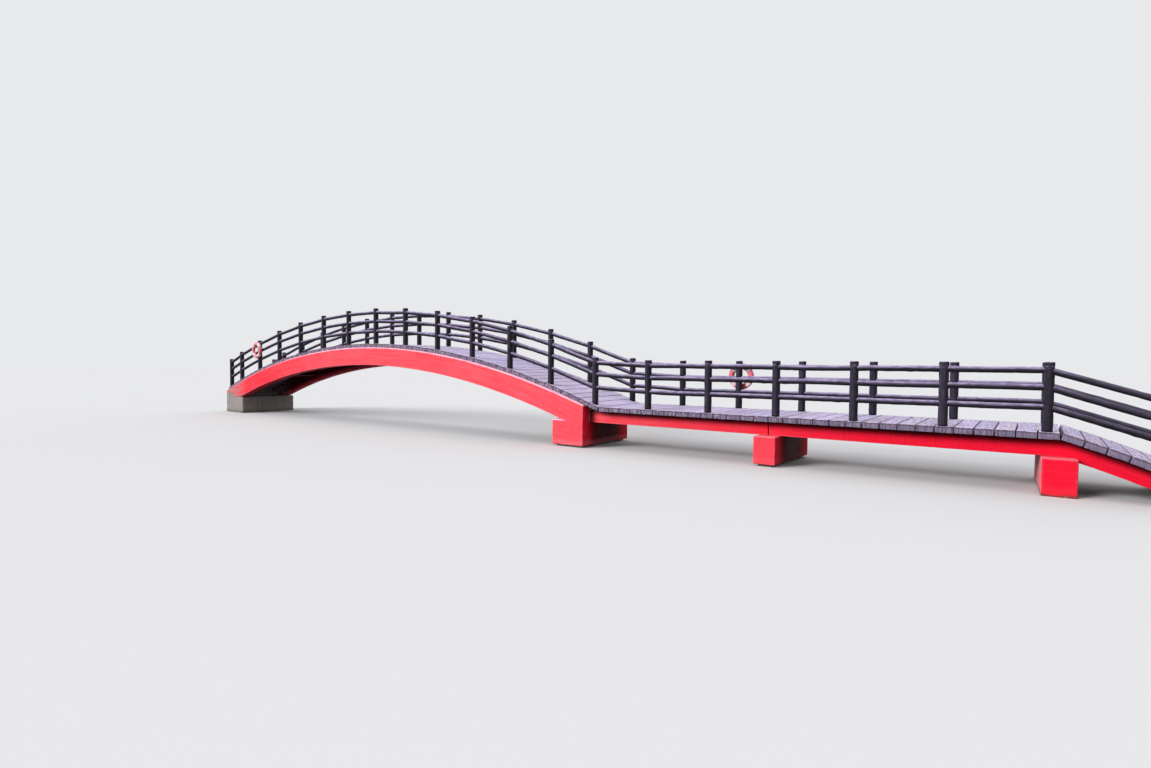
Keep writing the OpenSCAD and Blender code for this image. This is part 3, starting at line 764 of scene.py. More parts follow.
def rail_run(given):
    """Turns each edge of the input into a log rail with a slight bow."""
    curves = node("GeometryNodeMeshToCurve", {"Mesh": given["Geometry"]}).outputs[0]
    resampled = {"Curve": curves, "Length": given["Step"]}
    curves = node("GeometryNodeResampleCurve", resampled, mode="LENGTH").outputs[0]
    tree = curves.id_data
    owner = node("GeometryNodeCurveOfPoint", {}, tree).outputs["Curve Index"]
    spline = node("GeometryNodeSplineParameter", {}, tree).outputs
    shade = random_value(0.0, 1.0, given["Seed"], ID=owner)
    curves = stored(curves, "shade", shade)
    curves = stored(curves, "along", plus(spline["Length"], times(shade, 40.0)))
    hump = times(calc("SINE", times(spline["Factor"], math.pi)), given["Bow"])
    lean = random_value(-1.0, 1.0, plus(given["Seed"], 1), ID=owner)
    rise = random_value(-1.0, 1.0, plus(given["Seed"], 2), ID=owner)
    curves = shifted(curves, joined(0.0, times(hump, lean), times(hump, rise)))
    ring = node("GeometryNodeCurvePrimitiveCircle", {
        "Resolution": given["Sides"], "Radius": given["Radius"]}).outputs[0]
    around = scaled(position_in(ring), one_over(given["Radius"]))
    profile = stored(ring, "around", around, "FLOAT_VECTOR")
    tube = node("GeometryNodeCurveToMesh", {
        "Curve": curves, "Profile Curve": profile, "Fill Caps": True}).outputs[0]
    side, up, _ = split(named(tube, "around", "FLOAT_VECTOR"))
    tube = stored(tube, "grain", joined(named(tube, "along"), side, up), "FLOAT_VECTOR")
    return finished(grooved(tube, given), given)


MASONRY = geometry_group(
    "weathered_masonry", {"Geometry": "Geometry", **WEATHER_INPUTS, "Material": "Material"},
    weathered_masonry)
PLANK_ROW = geometry_group(
    "plank_row", {"Geometry": "Geometry", "Blank": "Object", "Slip": 0.004, "Twist": 0.003, "Seed": 7,
                  **WEATHER_INPUTS, "Material": "Material"}, plank_row)
POST_ROW = geometry_group(
    "post_row", {"Geometry": "Geometry", "Blank": "Object", "Seed": 3, **BARK_INPUTS,
                 "Material": "Material"}, post_row)
RAIL_RUN = geometry_group(
    "rail_run", {"Geometry": "Geometry", "Radius": 0.05, "Sides": 18, "Step": 0.04, "Bow": 0.008,
                 "Seed": 5, **BARK_INPUTS, "Material": "Material"}, rail_run)


def mesh_object(name, points, faces, edges=(), **values):
    """A mesh object at the origin, with named values stored on its points."""
    mesh = bpy.data.meshes.new(name)
    mesh.from_pydata(np.asarray(points).tolist(), list(edges), [tuple(f) for f in faces])
    for label, data in values.items():
        data = np.asarray(data, np.float32)
        vector = data.ndim == 2
        stored_values = mesh.attributes.new(label, "FLOAT_VECTOR" if vector else "FLOAT", "POINT")
        stored_values.data.foreach_set("vector" if vector else "value", data.ravel())
    mesh.update()
    made = bpy.data.objects.new(name, mesh)
    bpy.context.scene.collection.objects.link(made)
    return made


def grown(piece, tree, **inputs):
    """Runs a geometry tree on a piece and keeps the result as its plain mesh."""
    modifier = piece.modifiers.new(tree.name, "NODES")
    modifier.node_group = tree
    wanted = {label.replace("_", " ").title(): value for label, value in inputs.items()}
    for item in tree.interface.items_tree:
        if item.in_out == "INPUT" and item.name in wanted:
            modifier[item.identifier] = wanted.pop(item.name)
    if wanted:
        raise ValueError("the tree has no input named " + ", ".join(wanted))
    graph = bpy.context.evaluated_depsgraph_get()
    evaluated = piece.evaluated_get(graph)
    plain = bpy.data.meshes.new_from_object(evaluated, preserve_all_data_layers=True, depsgraph=graph)
    piece.modifiers.clear()
    piece.data = plain
    plain.name = piece.name
    return piece


def dressed(piece, slot, *nodes):
    """Attaches a finished piece to the root and hides the CAD parts that it stands in for. Its slot is not
    used.
    """
    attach(piece, "root")
    if nodes:
        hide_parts(*nodes)
    return piece


# Shares of a bevel's width: where its middle grid line lies, and how far wear reaches from an edge
BEVEL_MIDDLE = 0.42
WEAR_REACH = 2.5


def stations(low, high, step, bevel):
    """Grid lines from low to high, close together over the bevel at each end."""
    count = max(1, round((high - low - 4 * bevel) / step))
    inner = np.linspace(low + 2 * bevel, high - 2 * bevel, count + 1)
    start = [low, low + BEVEL_MIDDLE * bevel, low + bevel]
    return np.concatenate([start, inner, [low + high - s for s in reversed(start)]])


def block(xs, ys, zs, bevel):
    """A box on grid lines with round edges: its points, its quads and how near each point is to an edge."""
    shell = np.zeros((len(xs), len(ys), len(zs)), bool)
    shell[[0, -1]] = True
    shell[:, [0, -1]] = True
    shell[:, :, [0, -1]] = True
    index = np.full(shell.shape, -1)
    index[shell] = np.arange(shell.sum())
    grid = np.stack(np.meshgrid(xs, ys, zs, indexing="ij"), axis=-1)[shell]
    sheets = [(index[:, :, -1], 1), (index[:, :, 0], -1), (index[-1], 1), (index[0], -1),
              (index[:, 0], 1), (index[:, -1], -1)]
    quads = []
    for sheet, turn in sheets:
        quad = np.stack([sheet[:-1, :-1], sheet[1:, :-1], sheet[1:, 1:], sheet[:-1, 1:]], -1).reshape(-1, 4)
        quads.append(quad[:, ::turn])
    low = np.array([xs[0], ys[0], zs[0]]) + bevel
    high = np.array([xs[-1], ys[-1], zs[-1]]) - bevel
    inner = np.clip(grid, low, high)
    beyond = grid - inner
    reach = np.linalg.norm(beyond, axis=1, keepdims=True)
    points = inner + beyond / np.maximum(reach, 1e-9) * np.minimum(reach, bevel)
    near = np.sort(np.minimum(grid - (low - bevel), (high + bevel) - grid), axis=1)[:, 1]
    edge = np.clip(1 - near / (WEAR_REACH * bevel), 0, 1)
    return points, np.concatenate(quads), edge


def merged(parts):
    """Several blocks as one set of points, quads and edge values."""
    points, quads, edges = zip(*parts)
    firsts = np.cumsum([0] + [len(p) for p in points[:-1]])
    quads = [part_quads + first for part_quads, first in zip(quads, firsts)]
    return np.concatenate(points), np.concatenate(quads), np.concatenate(edges)


def arc_z(radius, x):
    return z_centre + np.sqrt(radius ** 2 - (x - x_crown) ** 2)


rib_top = partial(arc_z, rib_top_r)


def masonry_piece(name, parts, top_of, finish, nodes, shade_of=None, **weather):
    """A cast piece from blocks: top_of gives the height of its top at each station, and the
    shade function how much painted shade each point takes, from the points and their depths below the top."""
    points, quads, edge = merged(parts)
    drop = np.maximum(top_of(points[:, 0]) - points[:, 2], 0)
    dark = shade_of(points, drop) if shade_of else np.zeros_like(drop)
    piece = mesh_object(name, points, quads, edge=edge, drop=drop, dark=dark)
    material, slot = finish
    grown(piece, MASONRY, material=material, **weather)
    for vertex in piece.data.vertices:
        if vertex.co.z < FOOT_REACH:
            vertex.co.z = 0
    return dressed(piece, slot, *nodes)


def level(height):
    return lambda x: np.full_like(x, height)


def box_block(low, high, step, bevel):
    return block(*[stations(low[i], high[i], step, bevel) for i in range(3)], bevel)


def between(x_range, y_range, low_of, high_of, depth, step, bevel, lines=()):
    """A block along X, with extra grid lines, whose underside and top follow two curves."""
    xs = np.sort(np.concatenate([stations(*x_range, step, bevel), lines]))
    points, quads, edge = block(xs, stations(*y_range, step, bevel), stations(0, depth, step, bevel), bevel)
    bottom, top = low_of(points[:, 0]), high_of(points[:, 0])
    points[:, 2] = bottom + points[:, 2] / depth * (top - bottom)
    return points, quads, edge


def turned(part, x, angle):
    """A block turned as its pier is, about the middle of the pier's near face."""
    points, quads, edge = part
    centre = np.array([x, -half_w - PIER_REACH])
    cos, sin = math.cos(angle), math.sin(angle)
    points[:, :2] = (points[:, :2] - centre) @ np.array([[cos, sin], [-sin, cos]]) + centre
    return points, quads, edge


def ramp_low_z(x):
    """Height of the underside of the ramp's planks."""
    return np.interp(x, [p[0] for p in ramp_unders], [p[1] for p in ramp_unders])


# Grids of the cast pieces and their rounded edges, where a depth only sets the number of rows
CAST_STEP = 0.05
COARSE_STEP = 0.06
LONG_STEP = 0.08
RIB_BEVEL = 0.012
PIER_BEVEL = 0.02
WALL_BEVEL = 0.006
FOOT_BEVEL = 0.004
BEAM_BEVEL = 0.01
ABUTMENT_BEVEL = 0.015
HEAD_WALL_DEPTH = 0.5
ABUTMENT_DEPTH = 0.7
BACK_WALL_DEPTH = 0.2
SILL_DEPTH = 0.3

# Grid lines on both sides of the step of the seat
STEP_EDGE = 0.0005
STEP_LINES = (step_x - STEP_EDGE, step_x + STEP_EDGE)

# Height over the floor below which a point stands on it
FOOT_REACH = 0.01

# Small distances between pieces
PIER_RECESS = 0.002
WALL_SUNK = 0.05
FOOT_INSET = 0.09
JOINT_EASE = 0.006

# Painted shade: its reach in metres below the planks, beside the arch pier and above a rib's edge, and its
# strengths
BEAM_SHADE_REACH = 0.175
PIER_SHADE_REACH = 0.2
RIB_STRIP = 0.07
PIER_SHADE = 0.8
RIB_SHADE = 0.35
TIE_SHADE = 0.85

# Weathering of the cast pieces
RIB_WEAR = {"wave_depth": 0.004, "chip_depth": 0.012, "chip_share": 0.42}
ARCH_PIER_WEAR = {"wave_depth": 0.004, "chip_depth": 0.01, "chip_share": 0.42}
PIER_WEAR = {"wave_depth": 0.004, "chip_depth": 0.008, "chip_share": 0.42}
FOOT_WEAR = {"wave_depth": 0.004, "chip_depth": 0.0}
BEAM_WEAR = {"wave_depth": 0.003, "chip_depth": 0.01, "chip_share": 0.4}
ABUTMENT_WEAR = {"wave_depth": 0.008, "hollow_depth": 0.004, "chip_depth": 0.03, "chip_share": 0.6}


def under_planks(points, drop):
    """Painted shade just below the planks that overhang a beam, and where a beam meets the arch pier."""
    from_pier = points[:, 0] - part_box("inner_beam_near")[0].x
    return np.clip(np.maximum(1 - drop / BEAM_SHADE_REACH, PIER_SHADE * (1 - from_pier / PIER_SHADE_REACH)), 0, 1)


def inside_arch(points, drop):
    """Painted shade on the face of a rib that looks at the other rib, save a strip along its lower edge."""
    inner = np.abs(points[:, 1]) < rib_in + RIB_BEVEL
    above = points[:, 2] - arc_z(rib_low_r, points[:, 0])
    return np.where(inner, np.clip((above - RIB_STRIP) / RIB_STRIP, RIB_SHADE, 1), 0.0)


def seat_top(x):
    """Height of the stepped seat on the left abutment."""
    return np.where(x < step_x, step_z, seat_z)


def rib_underside(x):
    """The lower arc of a rib, down to its seat on the left."""
    return np.maximum(arc_z(rib_low_r, x), np.where(x < x_crown, seat_top(x), -1.0))


def make_ribs():
    """The two arch ribs, unworn where the arch pier and its head wall cover their edges."""
    for side in ("near", "far"):
        low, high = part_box("arch_rib_" + side)
        points, quads, edge = between((low.x, high.x), (low.y, high.y), rib_underside, rib_top,
                                      RIB_DEPTH, CAST_STEP, RIB_BEVEL, STEP_LINES)
        beside_pier = (points[:, 0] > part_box("arch_pier")[0].x) & (points[:, 2] < deck_z - ARCH_PIER_DROP)
        beside_wall = (points[:, 0] > high.x - CAST_STEP) & (np.abs(points[:, 1]) < rib_in + CAST_STEP)
        edge[beside_pier | beside_wall] = 0
        masonry_piece("arch_rib_cast_" + side, [(points, quads, edge)], rib_top, PAINTED,
                      ["arch_rib_" + side], inside_arch, **RIB_WEAR)


def turned_pier(pier, x, length, angle, finish, wear, step=CAST_STEP, bevel=PIER_BEVEL, inset=0):
    """A pier or its foot, turned a little from square to the deck."""
    low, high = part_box(pier)
    half = length / 2 - inset
    out = half_w + PIER_REACH - inset
    square = box_block((x - half, -out, low.z), (x + half, out, high.z), step, bevel)
    masonry_piece(pier + "_cast", [turned(square, x, angle)], level(high.z), finish, [pier], **wear)


def make_piers():
    low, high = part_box("arch_pier")
    shoulder = deck_z - ARCH_PIER_DROP
    base = box_block((low.x, low.y + PIER_RECESS, low.z),
                     (high.x - PIER_RECESS, high.y - PIER_RECESS, shoulder), COARSE_STEP, PIER_BEVEL)
    points, quads, _ = between((high.x - HEAD_WALL, high.x), (-rib_in, rib_in), level(shoulder - WALL_SUNK),
                               rib_top, HEAD_WALL_DEPTH, COARSE_STEP, WALL_BEVEL)
    wall = (points, quads, np.zeros(len(points)))
    masonry_piece("arch_pier_cast", [base, wall], level(shoulder), PAINTED, ["arch_pier"], **ARCH_PIER_WEAR)
    x_middle = x_bend + MIDDLE_PIER_X
    turned_pier("middle_pier", x_middle, MIDDLE_PIER_LENGTH, MIDDLE_PIER_TURN, PAINTED, PIER_WEAR)
    turned_pier("shore_pier", x_ramp, SHORE_PIER_LENGTH, SHORE_PIER_TURN, PAINTED, PIER_WEAR)
    low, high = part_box("arch_pier_foot")
    foot = box_block(low, high, COARSE_STEP, FOOT_BEVEL)
    masonry_piece("arch_pier_foot_cast", [foot], level(high.z), BARE, ["arch_pier_foot"], **FOOT_WEAR)
    turned_pier("middle_pier_foot", x_middle, MIDDLE_PIER_LENGTH, MIDDLE_PIER_TURN, BARE, FOOT_WEAR,
                COARSE_STEP, FOOT_BEVEL, FOOT_INSET)


def outer_beam_top(x):
    """Height of the planks' underside over the outer beams, level and then along the ramp."""
    return np.minimum(ramp_low_z(x), deck_z - plank_t)


def make_beams():
    """The inner beam of each side, and its outer beam and ramp beam in one piece."""
    for side in ("near", "far"):
        inner, outer, ramp = "inner_beam_" + side, "outer_beam_" + side, "ramp_beam_" + side
        low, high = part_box(inner)
        high.x -= JOINT_EASE
        points, quads, edge = box_block(low, high, CAST_STEP, BEAM_BEVEL)
        edge[points[:, 0] < low.x + CAST_STEP] = 0
        masonry_piece(inner + "_cast", [(points, quads, edge)], level(high.z), PAINTED, [inner],
                      under_planks, **BEAM_WEAR)
        low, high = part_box(outer)[0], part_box(ramp)[1]
        low.x += JOINT_EASE
        depth = ramp_unders[0][1] - low.z
        bends = [x for x, _ in ramp_unders if x < high.x - CAST_STEP]
        part = between((low.x, high.x), (low.y, high.y), lambda x: ramp_low_z(x) - depth, outer_beam_top,
                       depth, CAST_STEP, BEAM_BEVEL, bends)
        masonry_piece("outer_and_ramp_beam_" + side + "_cast", [part], outer_beam_top, PAINTED,
                      [outer, ramp], under_planks, **BEAM_WEAR)


def make_abutments():
    low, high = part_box("arch_abutment")
    base = between((low.x, high.x), (low.y, high.y), level(0.0), seat_top, ABUTMENT_DEPTH, CAST_STEP,
                   ABUTMENT_BEVEL, STEP_LINES)
    wall = between((low.x, low.x + BACK_WALL), (-rib_in, rib_in), level(seat_z), rib_top, BACK_WALL_DEPTH,
                   CAST_STEP, WALL_BEVEL)
    masonry_piece("arch_abutment_cast", [base, wall], level(seat_z), BARE, ["arch_abutment"], **ABUTMENT_WEAR)
    low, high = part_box("shore_abutment")
    sill = between((low.x, high.x), (low.y, high.y), level(0.0), ramp_low_z, SILL_DEPTH, CAST_STEP,
                   ABUTMENT_BEVEL)
    masonry_piece("shore_abutment_cast", [sill], level(high.z), BARE, ["shore_abutment"], **ABUTMENT_WEAR)


def make_cross_beams():
    """Tie beams between the ribs, each square to the arch."""
    parts = []
    top = rib_top_r - TIE_DROP
    for k in range(TIE_COUNT):
        turn = (k - (TIE_COUNT - 1) / 2) * TIE_STEP
        points, quads, edge = block(stations(-TIE_WIDTH / 2, TIE_WIDTH / 2, COARSE_STEP, BEAM_BEVEL),
                                    stations(-rib_in, rib_in, LONG_STEP, BEAM_BEVEL),
                                    stations(top - TIE_DEPTH, top, COARSE_STEP, BEAM_BEVEL), BEAM_BEVEL)
        across, up = points[:, 0].copy(), points[:, 2].copy()
        points[:, 0] = x_crown + across * math.cos(turn) + up * math.sin(turn)
        points[:, 2] = z_centre - across * math.sin(turn) + up * math.cos(turn)
        parts.append((points, quads, edge))
    # The tie beams take painted shade all over, as they lie in the shade under the deck
    masonry_piece("arch_cross_beams_cast", parts, partial(arc_z, top), PAINTED, ["arch_cross_beams"],
                  lambda points, drop: np.full_like(drop, TIE_SHADE), wave_depth=0.004)


# First seeds of the rows of planks and of the railing
DECK_SEED = 11
RAILING_SEED = 20

# Grid of a plank, across it and along it, and its weathering
PLANK_STEP = 0.045
PLANK_LONG_STEP = 0.042
PLANK_WEAR = {"wave_size": 0.4, "wave_depth": 0.003, "hollow_size": 0.07, "hollow_depth": 0.003,
              "chip_size": 0.05, "chip_depth": 0.012, "chip_share": 0.6}


def plank_blank(pitch):
    """One plank with its underside at Z 0, with its grain along Y."""
    half = (pitch - PLANK_GAP) / 2
    points, quads, edge = block(stations(-half, half, PLANK_STEP, PLANK_BEVEL),
                                stations(-half_w, half_w, PLANK_LONG_STEP, PLANK_BEVEL),
                                stations(0, plank_t, PLANK_STEP, PLANK_BEVEL), PLANK_BEVEL)
    return mesh_object("plank_blank", points, quads, edge=edge, grain=points[:, [1, 0, 2]])


def plank_angle(k):
    """Angle on the arch of plank k, counted from the flat deck."""
    return kink - (k + 0.5) * arch_pitch / deck_r


def arch_spot(k):
    """A point under plank k of the arch, and its tilt."""
    a = plank_angle(k)
    return (x_crown + rib_top_r * math.sin(a), 0, z_centre + rib_top_r * math.cos(a), a)


def flat_spot(k):
    return (x_bend + (k + 0.5) * PLANK_PITCH, 0, deck_z - plank_t, 0)


def ramp_spot(k):
    (x, z), angle = ramp_tops[k], ramp_angles[k]
    half = PLANK_PITCH / 2
    return (x + half * math.cos(angle) - plank_t * math.sin(angle), 0,
            z - half * math.sin(angle) - plank_t * math.cos(angle), angle)


def make_deck():
    """The rows of planks, numbered from the bend between the arch and the flat deck."""
    arch_blank = plank_blank(arch_pitch)
    flat_blank = plank_blank(PLANK_PITCH)
    left_from = arch_planks - arch_third
    rows = [("planks_arch_right", arch_spot, range(arch_third), arch_blank),
            ("planks_arch_crown", arch_spot, range(arch_third, left_from), arch_blank),
            ("planks_arch_left", arch_spot, range(left_from, arch_planks), arch_blank),
            ("planks_inner_span", flat_spot, range(inner_planks), flat_blank),
            ("planks_outer_span", flat_spot, range(inner_planks, flat_planks), flat_blank),
            ("planks_ramp", ramp_spot, range(RAMP_PLANKS), flat_blank)]
    for seed, (name, spot_of, numbers, blank) in enumerate(rows, DECK_SEED):
        spots = [spot_of(k) for k in numbers]
        row = mesh_object(name + "_cast", [spot[:3] for spot in spots], [], tilt=[spot[3] for spot in spots])
        grown(row, PLANK_ROW, blank=blank, seed=seed, material=PLANK, **PLANK_WEAR)
        dressed(row, "deck_concrete", name)
    bpy.data.objects.remove(arch_blank)
    bpy.data.objects.remove(flat_blank)


# What the bark adds to the radius of a rail and a post, and how far a rail goes into its posts
RAIL_SWELL = 0.008
POST_SWELL = 0.003
RAIL_COPE = 0.03

# Grid and foot of a post, and the radii of its neck over the shaft and of its cap under the top
POST_SIDES = 30
SHAFT_RINGS = 34
NECK_HEIGHT = 0.004
FOOT_HEIGHT = 0.06
CAP_FOOT = 0.012
shaft_radius = POST_RADIUS + POST_SWELL
NECK_PROFILE = [(0.0, shaft_radius - 0.004), (NECK_HEIGHT, shaft_radius - 0.001), (CAP_FOOT, CAP_RADIUS),
                (0.035, CAP_RADIUS), (0.06, CAP_RADIUS)]
TOP_PROFILE = [(0.016, CAP_RADIUS), (0.006, CAP_RADIUS - 0.004), (0.001, CAP_RADIUS - 0.014),
               (0.0, 0.055), (0.0, 0.03)]

# How near the foot and the top of the cap a post is rubbed
CAP_WEAR = 0.006
TOP_WEAR = 0.01

# Posts are counted from the ramp: one there, then those of the flat deck, then the arch
flat_bay = PLANKS_PER_BAY * PLANK_PITCH
arch_bay = PLANKS_PER_BAY * arch_pitch
first_arch_post = 1 + FLAT_POSTS
last_post_s = arch_length - END_POST_IN
regular_posts = 1 + math.floor((last_post_s - END_BAY_PLANKS * arch_pitch - POST_OFFSET) / arch_bay)
end_post = first_arch_post + regular_posts
crown_post = first_arch_post + round(regular_posts / 3)
left_post = first_arch_post + round(2 * regular_posts / 3)
SECTIONS = {
    "ramp": (0, 0), "flat": (1, FLAT_POSTS), "arch_right": (first_arch_post, crown_post - 1),
    "arch_crown": (crown_post, left_post - 1), "arch_left": (left_post, end_post)}


def post_spot(i):
    """Station of a post, the height of the deck there and the tilt of the deck."""
    if i == 0:
        (x, z), angle = ramp_tops[-1], ramp_angles[-1]
        return x - POST_OFFSET * math.cos(angle), z + POST_OFFSET * math.sin(angle), angle
    if i < first_arch_post:
        return x_ramp - POST_OFFSET - (i - 1) * flat_bay, deck_z, 0.0
    s = last_post_s if i == end_post else POST_OFFSET + (i - first_arch_post) * arch_bay
    tilt = plank_angle(math.floor(s / arch_pitch))
    x = x_crown + deck_r * math.sin(kink - s / deck_r)
    return x, z_centre + (deck_r - (x - x_crown) * math.sin(tilt)) / math.cos(tilt), tilt


def ring_faces(rings, sides):
    """Quads between rings of points, and a face over the first ring and the last."""
    faces = []
    for ring in range(rings - 1):
        for k in range(sides):
            here, there = ring * sides + k, ring * sides + (k + 1) % sides
            faces.append((here, there, there + sides, here + sides))
    last = (rings - 1) * sides
    faces.append(tuple(range(sides))[::-1])
    faces.append(tuple(range(last, last + sides)))
    return faces


def post_blank():
    """A log post standing at the origin, with a cap ring and a slightly domed top."""
    shaft_top = POST_HEIGHT - CAP_HEIGHT
    levels = [(z, shaft_radius) for z in np.linspace(0, shaft_top - NECK_HEIGHT, SHAFT_RINGS)]
    levels += [(shaft_top + rise, radius) for rise, radius in NECK_PROFILE]
    levels += [(POST_HEIGHT - depth, radius) for depth, radius in TOP_PROFILE]
    points, edge, grain, foot = [], [], [], []
    for z, radius in levels:
        for a in np.linspace(0, math.tau, POST_SIDES, endpoint=False):
            points.append((radius * math.cos(a), radius * math.sin(a), z))
            grain.append((z, math.cos(a), math.sin(a)))
            rubbed = abs(z - shaft_top - CAP_FOOT) < CAP_WEAR or z > POST_HEIGHT - TOP_WEAR
            edge.append(1.0 if rubbed else 0.0)
            foot.append(max(0.0, 1 - z / FOOT_HEIGHT))
    faces = ring_faces(len(levels), POST_SIDES)
    return mesh_object("post_blank", points, faces, edge=edge, grain=grain, foot=foot)


def make_railing():
    """Posts and rails of each side, in the same stretches, each rail let into its two posts."""
    blank = post_blank()
    post_y = half_w - POST_INSET
    for side, sign in (("near", -1), ("far", 1)):
        for row, (section, (first, last)) in enumerate(SECTIONS.items()):
            seed = RAILING_SEED + 10 * row + sign
            spots = [post_spot(i) for i in range(first, last + 1)]
            points = [(x, sign * post_y, z) for x, z, _ in spots]
            tilts = [tilt for _, _, tilt in spots]
            posts = mesh_object(f"posts_{side}_{section}_cast", points, [], tilt=tilts)
            grown(posts, POST_ROW, blank=blank, seed=seed, material=POST_LOG)
            dressed(posts, "log_concrete", f"posts_{side}_{section}")
            ends, edges = [], []
            for i in range(first, min(last, end_post - 1) + 1):
                for height in RAIL_HEIGHTS:
                    here, there = (Vector((x, sign * post_y, z + height))
                                   for x, z, _ in (post_spot(i), post_spot(i + 1)))
                    into = (there - here).normalized() * (POST_RADIUS - RAIL_COPE)
                    edges.append((len(ends), len(ends) + 1))
                    ends += [here + into, there - into]
            rails = mesh_object(f"rails_{side}_{section}_cast", ends, [], edges)
            grown(rails, RAIL_RUN, seed=seed + 5, radius=RAIL_RADIUS + RAIL_SWELL, material=RAIL_LOG)
            dressed(rails, "log_concrete", f"rails_{side}_{section}")
    bpy.data.objects.remove(blank)


# Half the width of the floor in metres, and the strength of the soft light all round
FLOOR_REACH = 150
WORLD_STRENGTH = 0.22

# Wide lamps: name, strength, spread in degrees and direction
LAMPS = [
    ("key_light", 3.5, 25, (0.48, 0.78, -0.42)),
    ("top_light", 1.7, 80, (0.0, 0.05, -1.0)),
    ("back_light", 1.1, 60, (-0.1, -0.9, -0.35)),
    ("side_light", 0.55, 50, (-0.95, 0.2, -0.25))]


def seen_directly(tree):
    """1 for rays from the camera and for what gloss and glass show."""
    path = node("ShaderNodeLightPath", {}, tree).outputs
    seen = calc("MAXIMUM", path["Is Camera Ray"], path["Is Glossy Ray"])
    return calc("MAXIMUM", seen, path["Is Transmission Ray"])


def make_stage():
    """A pale floor that bounces less light than it shows."""
    corners = [(FLOOR_REACH * x, FLOOR_REACH * y, 0) for x, y in ((-1, -1), (1, -1), (1, 1), (-1, 1))]
    floor = mesh_object("floor", corners, [(0, 1, 2, 3)])
    material = bpy.data.materials.new("pale_floor")
    material.use_nodes = True
    shown = blend(seen_directly(material.node_tree), FLOOR_BOUNCE, FLOOR_PALE)
    connect(material.node_tree.nodes["Principled BSDF"], {
        "Base Color": shown, "Roughness": 0.9, "Specular IOR Level": 0.0})
    floor.data.materials.append(material)


def make_light():
    world = bpy.data.worlds.new("studio")
    bpy.context.scene.world = world
    world.use_nodes = True
    tree = world.node_tree
    tree.nodes.clear()
    soft = node("ShaderNodeBackground", {"Color": SOFT_LIGHT, "Strength": WORLD_STRENGTH}, tree)
    plain = node("ShaderNodeBackground", {"Color": SKY_PALE, "Strength": 1.0}, tree)
    chosen = node("ShaderNodeMixShader", {0: seen_directly(tree), 1: soft.outputs[0], 2: plain.outputs[0]})
    node("ShaderNodeOutputWorld", {"Surface": chosen.outputs[0]})
    for name, strength, spread, towards in LAMPS:
        data = bpy.data.lights.new(name, "SUN")
        data.energy = strength
        data.angle = math.radians(spread)
        lamp = bpy.data.objects.new(name, data)
        lamp.rotation_euler = Vector(towards).to_track_quat("-Z", "Y").to_euler()
        bpy.context.scene.collection.objects.link(lamp)


# Lifebuoys and their hooks, sizes in metres, and the posts that they hang on
BUOY_DIAMETER = 0.64
BUOY_WIDTH = 0.145
BUOY_THICKNESS = 0.1
BUOY_FLATNESS = 4
BUOY_HEIGHT = 0.765
BUOY_CLEARANCE = 0.0003
BUOY_TURNS = 144
BUOY_SIDES = 72
BAND_SIDES = 48
BAND_COUNT = 4
BAND_HALF_ANGLE = math.radians(12)
BAND_LIP = math.radians(0.8)
BAND_RADIUS = 0.0515
BAND_THICKNESS = 0.006
BAND_FOLD = 0.0009
BAND_HEM = 0.0006
BAND_TURNS = 7
SEAM_HEIGHT = 0.0016
SEAM_SHARPNESS = 400
TUBE_FLATTENING = 0.001
HOOK_DIAMETER = 0.014
BOLT_OFFSET = 0.018
BOLT_SIDES = 24
NEAR_BUOY_POST = end_post - 2
FAR_BUOY_POST = 5

# Profile of a bolt: height over its plate, radius, and whether it has six sides there
BOLT_PROFILE = [
    (0.0, 0.0065, False), (0.0012, 0.0065, False), (0.0012, 0.0058, True), (0.0045, 0.0058, True),
    (0.0052, 0.0048, True)]


def closed_sweep(centre, turns, radii):
    """A closed surface round an upright ring, wider than it is thick: at each turn along it,
    the radius of its round edges."""
    rounds = np.linspace(0, math.tau, radii.shape[1], endpoint=False)
    middle = (BUOY_DIAMETER - BUOY_WIDTH) / 2
    half_flat = (BUOY_WIDTH - BUOY_THICKNESS) / 2
    reach = middle + radii * np.cos(rounds) + half_flat * np.clip(BUOY_FLATNESS * np.cos(rounds), -1, 1)
    across = reach * np.cos(turns)[:, None]
    upwards = reach * np.sin(turns)[:, None]
    points = np.stack([across, radii * np.sin(rounds), upwards], -1)
    index = np.arange(radii.size).reshape(radii.shape)
    beyond = np.roll(index, -1, axis=0)
    quads = np.stack([index, np.roll(index, -1, axis=1), np.roll(beyond, -1, axis=1), beyond], -1)
    return points.reshape(-1, 3) + np.array(centre), quads.reshape(-1, 4)


def buoy_ring(centre):
    """The ring, a little flattened, with a moulded seam round its outer and inner edge."""
    rounds = np.linspace(0, math.tau, BUOY_SIDES, endpoint=False)
    seam = SEAM_HEIGHT * (1 - np.abs(np.cos(rounds)) ** SEAM_SHARPNESS)
    tube = BUOY_THICKNESS / 2 - seam - TUBE_FLATTENING * np.sin(2 * rounds) ** 2
    turns = np.linspace(0, math.tau, BUOY_TURNS, endpoint=False)
    return closed_sweep(centre, turns, np.tile(tube, (len(turns), 1)))


def buoy_band(centre, middle):
    """A reflecting band wrapped round the tube, with a folded lip along both borders."""
    h, lip, face = BAND_HALF_ANGLE, BAND_LIP, BAND_RADIUS - BAND_FOLD
    outside = [(-h, BAND_RADIUS - BAND_HEM), (-h + lip, BAND_RADIUS), (-h + 2 * lip, face)]
    outside += [(a, face) for a in np.linspace(-h + 3 * lip, h - 3 * lip, BAND_TURNS)]
    outside += [(-a, radius) for a, radius in reversed(outside[:3])]
    inside = [(a, BAND_RADIUS - BAND_THICKNESS) for a in np.linspace(h, -h, BAND_TURNS)]
    profile = np.array(outside + inside)
    return closed_sweep(centre, middle + profile[:, 0], np.tile(profile[:, 1:], (1, BAND_SIDES)))


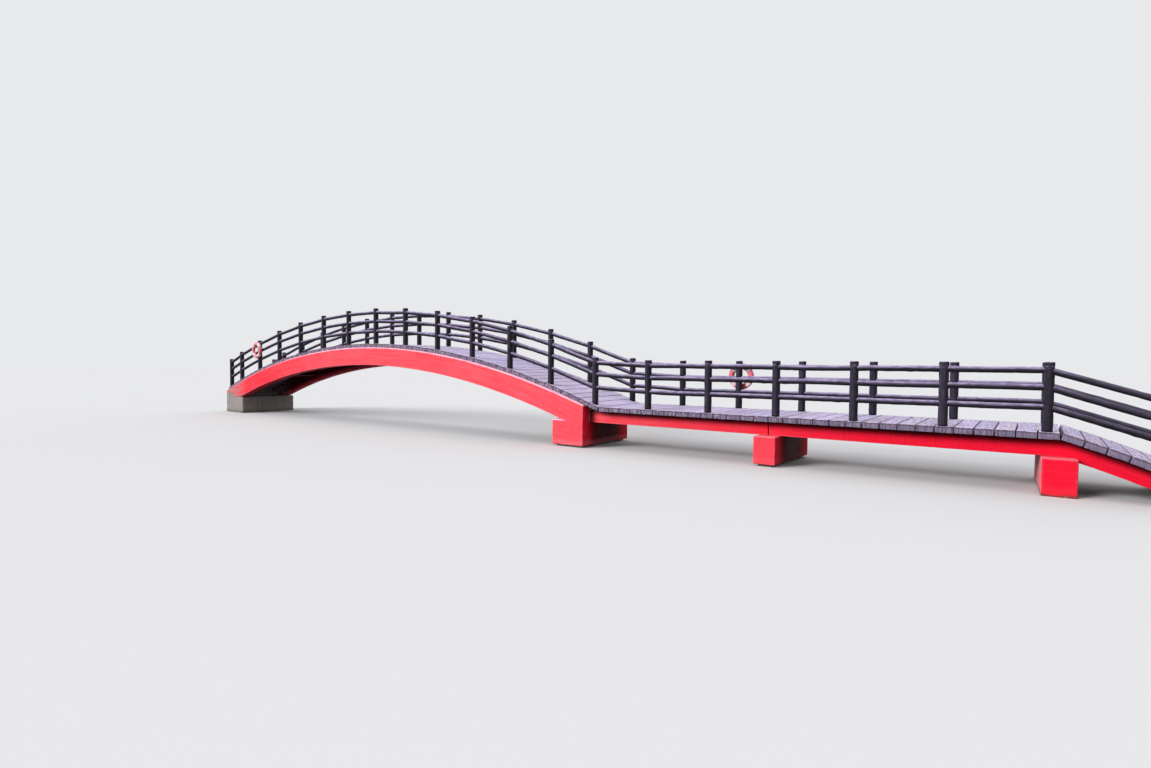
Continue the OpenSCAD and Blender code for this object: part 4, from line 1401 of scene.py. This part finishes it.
def hex_bolt(centre, sign):
    """A washer and a hexagon head, seen from the side that sign points to."""
    points = []
    for y, radius, six_sided in BOLT_PROFILE:
        for k in range(BOLT_SIDES):
            a = math.tau * k / BOLT_SIDES
            corner = math.cos(math.pi / 6) / math.cos(a % (math.pi / 3) - math.pi / 6) if six_sided else 1.0
            points.append((radius * corner * math.cos(a), sign * y, radius * corner * math.sin(a)))
    faces = [face[::-sign] for face in ring_faces(len(BOLT_PROFILE), BOLT_SIDES)]
    return np.array(points) + np.array(centre), faces


def fitting(name, parts, material, slot, *nodes):
    """One smooth piece from several closed parts."""
    points, faces, count = [], [], 0
    for part_points, part_faces in parts:
        points.append(part_points)
        faces += [tuple(int(v) + count for v in face) for face in part_faces]
        count += len(part_points)
    piece = mesh_object(name, np.concatenate(points), faces)
    piece.data.materials.append(material)
    piece.data.shade_smooth()
    return dressed(piece, slot, *nodes)


def make_lifebuoys():
    """Rings with their bands, and the bolts of the hooks, which keep their CAD mesh."""
    rings, bands, bolts = [], [], []
    for sign, post in ((-1, NEAR_BUOY_POST), (1, FAR_BUOY_POST)):
        x, z, _ = post_spot(post)
        post_face = half_w - POST_INSET + POST_RADIUS
        centre = (x, sign * (post_face + BUOY_CLEARANCE + BUOY_THICKNESS / 2), z + BUOY_HEIGHT)
        rings.append(buoy_ring(centre))
        bands += [buoy_band(centre, math.tau * (k + 0.5) / BAND_COUNT) for k in range(BAND_COUNT)]
        plate_z = centre[2] + BUOY_DIAMETER / 2 - BUOY_WIDTH - BUOY_CLEARANCE - HOOK_DIAMETER / 2
        plate_y = sign * (post_face + HOOK_DIAMETER / 4)
        bolts += [hex_bolt((x + i * BOLT_OFFSET, plate_y, plate_z + k * BOLT_OFFSET), sign)
                  for i in (-1, 1) for k in (-1, 1)]
    fitting("lifebuoy_rings", rings, BUOY, "buoy_plastic", "lifebuoys")
    fitting("lifebuoy_bands", bands, BAND, "buoy_plastic", "lifebuoys")
    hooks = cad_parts["lifebuoy_hooks"]
    hooks.data.materials.clear()
    hooks.data.materials.append(STEEL)
    fitting("hook_bolts", bolts, STEEL, "hook_steel")


make_camera()
make_ribs()
make_piers()
make_beams()
make_abutments()
make_cross_beams()
make_deck()
make_railing()
make_lifebuoys()
make_stage()
make_light()

scene = bpy.context.scene
scene.view_settings.view_transform = "Standard"
